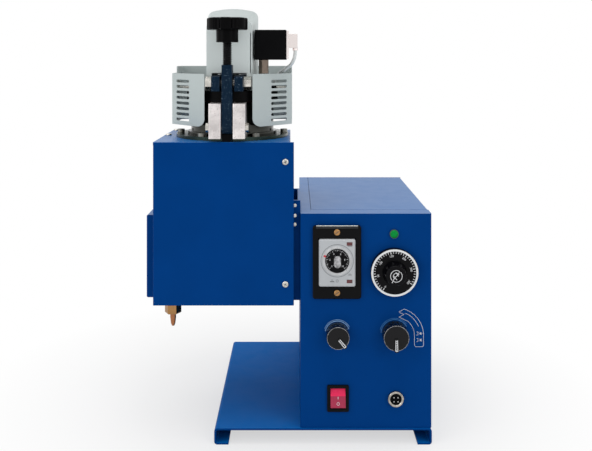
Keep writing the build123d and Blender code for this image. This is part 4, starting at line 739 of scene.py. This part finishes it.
# Painted shade: dark crosses in the heads of the tank's screws, in place of their shaded cross recesses;
# how far each is below the tank's top, and how far it is turned
tank_low, tank_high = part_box("tank_cover")
tank_screw_inset = 9.5
head_height = 2.0
tank_screws = ((22.0, 20), (159.0, 65))
tank_screw_x = tank_high[0] / MM - tank_screw_inset
tank_screw_front = tank_low[1] / MM - head_height
cross_reach = 2.0
cross_width = 0.7
for index, (drop, degrees) in enumerate(tank_screws):
    bm = bmesh.new()
    stroke(bm, [(-cross_reach, 0.0), (cross_reach, 0.0)], cross_width, 0.05)
    stroke(bm, [(0.0, -cross_reach), (0.0, cross_reach)], cross_width, 0.06)
    turn_all(bm, degrees)
    settle(bm, "tank_screw_cross_%d" % index,
           facing_front(tank_screw_x, tank_screw_front, tank_high[2] / MM - drop), "machine",
           DARK_PRINT_AND_SHADE)

# Painted shade: dark slots in the heads of the timer's screws, in place of their shaded slot recesses
timer_screw_radius = 3.6
slot_reach = 2.6
slot_width = 0.7
slot_rise = 0.05
slot_turn = 35
screws_low, screws_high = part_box("timer_screws")
screw_heights = (screws_low[2] / MM + timer_screw_radius, screws_high[2] / MM - timer_screw_radius)
for index, z in enumerate(screw_heights):
    bm = bmesh.new()
    stroke(bm, [(-slot_reach, 0.0), (slot_reach, 0.0)], slot_width, slot_rise)
    turn_all(bm, slot_turn)
    settle(bm, "timer_screw_slot_%d" % index, facing_front(timer_x, screws_low[1] / MM, z), "machine",
           DARK_PRINT_AND_SHADE)

# Bright contacts in the round connector
socket_x, _, socket_z = middle("connector_insert")
contact_circle = 3.2
contact_radius = 0.78
contact_rise = 0.15
bm = bmesh.new()
for degrees in (45, 135, 225, 315):
    prism(bm, circle(contact_radius, polar(contact_circle, degrees), count=20), contact_rise)
settle(bm, "connector_contacts", facing_front(socket_x, front_of("connector_insert"), socket_z),
       "machine", MATERIALS["polished"])

# Dark ring round the green lamp
lamp_x, _, lamp_z = middle("power_lamp")
lamp_radius = radius_across("power_lamp")
lamp_ring_outer = lamp_radius + 0.3
lamp_ring_inner = lamp_radius - 0.9
lamp_ring_height = 2.3
bm = bmesh.new()
ring(bm, lamp_ring_outer, lamp_ring_inner, lamp_ring_height, count=40)
settle(bm, "lamp_ring", facing_front(lamp_x, panel_y, lamp_z), "machine", DARK_PRINT_AND_SHADE)

# Threaded rod in place of the plain one, in metres
rod_low, rod_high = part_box("clamp_screw")
rod_x = (rod_low[0] + rod_high[0]) / 2
rod_y = (rod_low[1] + rod_high[1]) / 2
rod_radius = (rod_high[0] - rod_low[0]) / 2
rod_length = rod_high[2] - rod_low[2]
pitch = 0.002
thread_depth = 0.0011
flank = 2.6
points_around = 40
rows_per_turn = 8
rows = int(rod_length / pitch * rows_per_turn)
bm = bmesh.new()
rings = []
for row in range(rows + 1):
    rise = rod_length * row / rows
    loop = []
    for k in range(points_around):
        phase = (rise / pitch - k / points_around) % 1.0
        groove = max(0.0, 1.0 - abs(phase - 0.5) * flank)
        u, v = polar(rod_radius - thread_depth * groove, 360 * k / points_around)
        loop.append(bm.verts.new((rod_x + u, rod_y + v, rod_low[2] + rise)))
    rings.append(loop)
for low_ring, high_ring in zip(rings, rings[1:]):
    for k in range(points_around):
        j = (k + 1) % points_around
        bm.faces.new((low_ring[k], low_ring[j], high_ring[j], high_ring[k]))
bm.faces.new(rings[0][::-1])
bm.faces.new(rings[-1])
rod = settle(bm, "threaded_rod", Matrix.Identity(4), "screw", THREAD_METAL)
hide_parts("clamp_screw")


# Floor, light and camera

FLOOR_SIZE = 14
FLOOR_GREY = 0.86
SHADOW_REACH = (0.18, 0.42)
WORLD_LEVEL = 0.62


def greater(tree, first, second):
    node = tree.nodes.new("ShaderNodeMath")
    node.operation = "MAXIMUM"
    tree.links.new(first, node.inputs[0])
    tree.links.new(second, node.inputs[1])
    return node.outputs[0]


def stage_material():
    """A pale floor that keeps the shadow near the object and turns white farther out."""
    mat, tree, shader = new_material("floor_pale")
    shader.inputs["Base Color"].default_value = (FLOOR_GREY, FLOOR_GREY, FLOOR_GREY, 1)
    shader.inputs["Roughness"].default_value = 0.9
    shader.inputs["Specular IOR Level"].default_value = 0.0
    white = tree.nodes.new("ShaderNodeEmission")
    white.inputs["Color"].default_value = (1, 1, 1, 1)
    white.inputs["Strength"].default_value = 1.0
    length = tree.nodes.new("ShaderNodeVectorMath")
    length.operation = "LENGTH"
    tree.links.new(coords(tree), length.inputs[0])
    far = spread(tree, length.outputs["Value"], 0.6, 1.0, *SHADOW_REACH)
    rays = tree.nodes.new("ShaderNodeLightPath")
    seen = greater(tree, rays.outputs["Is Camera Ray"], rays.outputs["Is Glossy Ray"])
    amount = tree.nodes.new("ShaderNodeMath")
    amount.operation = "MULTIPLY"
    tree.links.new(far, amount.inputs[0])
    tree.links.new(seen, amount.inputs[1])
    mix = tree.nodes.new("ShaderNodeMixShader")
    tree.links.new(amount.outputs[0], mix.inputs["Fac"])
    tree.links.new(shader.outputs[0], mix.inputs[1])
    tree.links.new(white.outputs[0], mix.inputs[2])
    tree.links.new(mix.outputs[0], tree.nodes["Material Output"].inputs["Surface"])
    return mat


bpy.ops.mesh.primitive_plane_add(size=FLOOR_SIZE, location=(0, 0, 0))
floor = bpy.context.object
floor.name = "floor"
floor.data.materials.append(stage_material())

# White where the camera and reflections see it, softer as light
world = bpy.data.worlds.new("studio")
bpy.context.scene.world = world
world.use_nodes = True
tree = world.node_tree
background = tree.nodes["Background"]
rays = tree.nodes.new("ShaderNodeLightPath")
seen = greater(tree, rays.outputs["Is Camera Ray"], rays.outputs["Is Glossy Ray"])
seen = greater(tree, seen, rays.outputs["Is Transmission Ray"])
tree.links.new(spread(tree, seen, WORLD_LEVEL, 1.0, 0.0, 1.0), background.inputs["Strength"])
background.inputs["Color"].default_value = (1, 1, 1, 1)


def softbox(name, place, target, size, power):
    light = bpy.data.lights.new(name, "AREA")
    light.shape = "RECTANGLE"
    light.size, light.size_y = size
    light.energy = power
    obj = bpy.data.objects.new(name, light)
    obj.location = place
    obj.rotation_euler = (Vector(target) - Vector(place)).to_track_quat("-Z", "Y").to_euler()
    bpy.context.scene.collection.objects.link(obj)


softbox("light_top", place=(-0.1, -0.2, 1.7), target=(0, 0, 0.2), size=(1.3, 1.0), power=9.0)
softbox("light_left", place=(-1.5, -1.1, 0.9), target=(-0.1, 0, 0.25), size=(1.0, 1.2), power=7.0)
softbox("light_right", place=(1.3, -1.4, 1.0), target=(0.1, 0, 0.2), size=(0.9, 1.0), power=6.2)

camera_data = bpy.data.cameras.new("camera")
camera = bpy.data.objects.new("camera", camera_data)
bpy.context.scene.collection.objects.link(camera)
camera.location = (0.0097, -0.9877, 0.4335)
camera.rotation_euler = (math.radians(90), 0, 0)
camera_data.sensor_width = 36.0
camera_data.lens = 47.0
camera_data.shift_y = -0.2846
bpy.context.scene.camera = camera
bpy.context.scene.view_settings.view_transform = "Standard"
